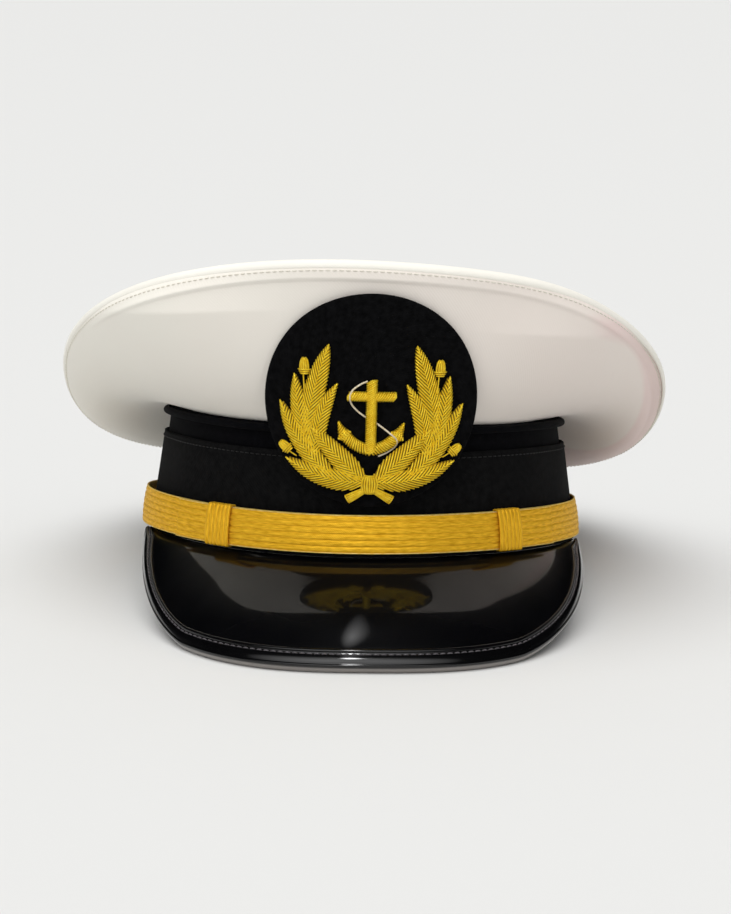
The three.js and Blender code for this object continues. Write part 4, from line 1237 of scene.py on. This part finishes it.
knot = strip(KNOT["base"], KNOT["tip"], knot_width, KNOT["height"], layer=KNOT["layer"])
knot_wires = wire(lengthwise(knot, KNOT_WIRES["count"]), KNOT_WIRES["radius"])
tie = [knot_wires, end_wire(knot, END_WIRE["knot_lift"])]
tie_felt = [padding(knot)]
for side in (-1, 1):
    line = (CUT_STEM["base"], CUT_STEM["tip"], stem_width, CUT_STEM["height"])
    stem = strip(*line, layer=CUT_STEM["layer"], side=side)
    tie += [wire(lengthwise(stem, STEM_WIRES)), end_wire(stem, END_WIRE["stem_lift"])]
    tie_felt.append(padding(stem))
add_piece("wreath_tie_wire", tie, gold_wire, "gold_wire", "wreath_tie")
add_piece("wreath_tie_felt", tie_felt, felt_and_painted_shade, "gold_wire")

# Anchor: a shank with a stock across it and two arms that end in flukes, in the same gold bullion laid
# slanting from edge to edge over padding, one strip sewn over another.
ANCHOR_TOP = 8.4
ANCHOR_FOOT = -20.0
SHANK_RISE = 1.0
STOCK_END = np.array((8.5, 2.2))
ARM_TIP = (11.6, -7.8)
ARM_RISE = 1.8
ARM_BOW = -2.4
ARM_POINT = 0.72
ARM_TAPER = 0.9
FLUKE_INNER = (7.4, -11.2)
FLUKE_OUTER = (11.4, -14.0)
FLUKE_END = 0.5
ANCHOR_WIRE = 0.4
# Strips of the anchor: width, height of the padding, the order they are sewn in and the slant of the wire.
ANCHOR = {
    "arm": {"width": 4.3, "height": 0.9, "layer": 1, "slant": 0.8},
    "fluke": {"width": 4.2, "height": 0.7, "layer": 2, "slant": 0.5},
    "stock": {"width": 3.6, "height": 0.9, "layer": 2, "slant": -1.2},
    "shank": {"width": 3.8, "height": 1.0, "layer": 3, "slant": 1.3},
}


def arm_width(share):
    """An even arm that draws in evenly over its pointed end, by its taper in all."""
    return ANCHOR["arm"]["width"] * (1 - ARM_TAPER * np.maximum(0, share - ARM_POINT) / (1 - ARM_POINT))


def fluke_width(share):
    """A leaf shape: half a sine on thin ends."""
    return FLUKE_END + ANCHOR["fluke"]["width"] * np.sin(np.pi * share)


def anchor_strip(name, base, tip, width, **more):
    """A strip of the anchor and the slant of its wire, from its row of the table."""
    row = ANCHOR[name]
    return strip(base, tip, width, row["height"], layer=row["layer"], **more), row["slant"]


anchor_strips = []
for side in (-1, 1):
    arm_foot = (0, ANCHOR_FOOT + ARM_RISE)
    anchor_strips.append(anchor_strip("arm", arm_foot, ARM_TIP, arm_width, bow=ARM_BOW, side=side))
    anchor_strips.append(anchor_strip("fluke", FLUKE_INNER, FLUKE_OUTER, fluke_width, side=side))
stock_width, shank_width = even_width(ANCHOR["stock"]["width"]), even_width(ANCHOR["shank"]["width"])
anchor_strips.append(anchor_strip("stock", STOCK_END * (-1, 1), STOCK_END, stock_width))
anchor_strips.append(anchor_strip("shank", (0, ANCHOR_FOOT + SHANK_RISE), (0, ANCHOR_TOP), shank_width))
anchor_wire = [wire(satin(shape, slant=slant), ANCHOR_WIRE) for shape, slant in anchor_strips]
add_piece("anchor_wire", anchor_wire, gold_wire, "gold_wire", "anchor")
add_piece("anchor_felt", [padding(shape) for shape, slant in anchor_strips], felt_and_painted_shade, "gold_wire")

# Rope: one pale cord twisted of silk with a little metal thread, laid round the anchor and caught down on
# the felt: over the stock's end, behind the shank and over the right arm.
ROPE_RADIUS = 0.36
# Places the rope passes: right and up on the patch, and its height over the felt.
ROPE = np.array([
    (-1.6, 7.9, 0.9), (-4.1, 6.6, 0.5), (-6.8, 4.6, 1.6), (-7.8, 2.0, 2.2), (-7.2, -0.9, 0.9),
    (-5.0, -3.6, 0.4), (-2.2, -5.6, 0.5), (0.6, -7.2, 0.4), (3.0, -8.8, 0.5), (6.6, -11.4, 1.9),
    (9.2, -14.0, 1.9), (9.0, -16.6, 0.6), (6.4, -18.9, 0.4), (2.9, -20.6, 0.4),
])


def smooth_path(knots, count):
    """A flowing curve through a few points, carried straight on past both ends to set off the first and
    last stretch."""
    ends = np.concatenate([2 * knots[:1] - knots[1:2], knots, 2 * knots[-1:] - knots[-2:-1]])
    place = np.linspace(0, len(knots) - 1, count)
    row = np.minimum(place.astype(int), len(knots) - 2)
    return flowing(*(ends[row + k] for k in range(4)), (place - row)[:, None])


rope_spots = smooth_path(ROPE + np.array((0, 0, PATCH_WALL)), 160)[None]
pale_cord = new_finish("pale_cord", Roughness=0.5, Metallic=0.2)
shade(pale_cord, mottle(pale_cord, 0.7), (0.62, 0.50, 0.30), (0.90, 0.82, 0.66))
emboss(pale_cord, threads_of_cloth(pale_cord, 0.5), 0.08)
rope = threads(patch_place(rope_spots), patch_out(rope_spots), ROPE_RADIUS, 10)
add_piece("anchor_rope", [rope], pale_cord, "gold_wire")

# Floor and light: a plain pale floor that runs out of sight, one broad soft light overhead and an even glow
# from all round. A soft card in front lights the gold, and a narrow strip above and a small tall lamp glint
# in the patent leather.
FLOOR_HALF_SIZE = 40.0
FLOOR_DROP = 0.0001
FLOOR_COLOUR = (0.675, 0.675, 0.664, 1)
GLOW = 0.58
OVERHEAD = {"strength": 2.3, "spread": 70.0, "tip_forward": 15.0, "tip_left": 10.0}
CARDS = {
    "front_card": {"place": (-0.2, -1.5, 0.8), "size": (2.8, 1.3), "radiance": 2.9},
    "overhead_strip": {"place": (-0.018, -0.36, 1.25), "size": (0.09, 1.0), "radiance": 3.3},
    "key_lamp": {"place": (-0.03, -0.98, 0.86), "size": (0.10, 0.28), "radiance": 62.0},
}

corners = FLOOR_HALF_SIZE * np.array([(-1, -1, 0), (1, -1, 0), (1, 1, 0), (-1, 1, 0)]) - (0, 0, FLOOR_DROP)
floor_mesh = bpy.data.meshes.new("floor")
floor_mesh.from_pydata(corners.tolist(), [], [(0, 1, 2, 3)])
pale_floor = new_finish("pale_floor", Base_Color=FLOOR_COLOUR, Roughness=0.9, Specular_IOR_Level=0.1)
floor_mesh.materials.append(pale_floor)
floor = bpy.data.objects.new("floor", floor_mesh)
bpy.context.scene.collection.objects.link(floor)

overhead = bpy.data.lights.new("overhead", "SUN")
overhead.energy = OVERHEAD["strength"]
overhead.angle = np.radians(OVERHEAD["spread"])
lamp = bpy.data.objects.new("overhead", overhead)
lamp.rotation_euler = np.radians((OVERHEAD["tip_forward"], -OVERHEAD["tip_left"], 0))
lamp.visible_glossy = False
bpy.context.scene.collection.objects.link(lamp)


def soften(light):
    """Makes a lamp's face fade evenly from its middle to its edges."""
    light.use_nodes = True
    place = add_node(light, "TexCoord", {}).outputs["UV"]
    inputs = {"Vector": place, "Location": (-1, -1, 0), "Scale": (2, 2, 0)}
    centred = add_node(light, "Mapping", inputs).outputs["Vector"]
    fade = add_node(light, "TexGradient", {"Vector": centred}, gradient_type="SPHERICAL").outputs["Fac"]
    light.node_tree.links.new(fade, light.node_tree.nodes["Emission"].inputs["Strength"])


for name, card in CARDS.items():
    light = bpy.data.lights.new(name, "AREA")
    light.shape = "RECTANGLE"
    light.size, light.size_y = card["size"]
    light.energy = np.pi * light.size * light.size_y * card["radiance"]
    soften(light)
    lamp = bpy.data.objects.new(name, light)
    lamp.location = card["place"]
    lamp.rotation_euler = Vector(card["place"]).to_track_quat("Z", "Y").to_euler()
    lamp.visible_diffuse = False
    bpy.context.scene.collection.objects.link(lamp)

world = bpy.data.worlds.new("studio")
world.use_nodes = True
glow = world.node_tree.nodes["Background"]
glow.inputs["Color"].default_value = (1, 1, 1, 1)
glow.inputs["Strength"].default_value = GLOW
bpy.context.scene.world = world
world.cycles_visibility.glossy = False
bpy.context.scene.view_settings.view_transform = "Standard"
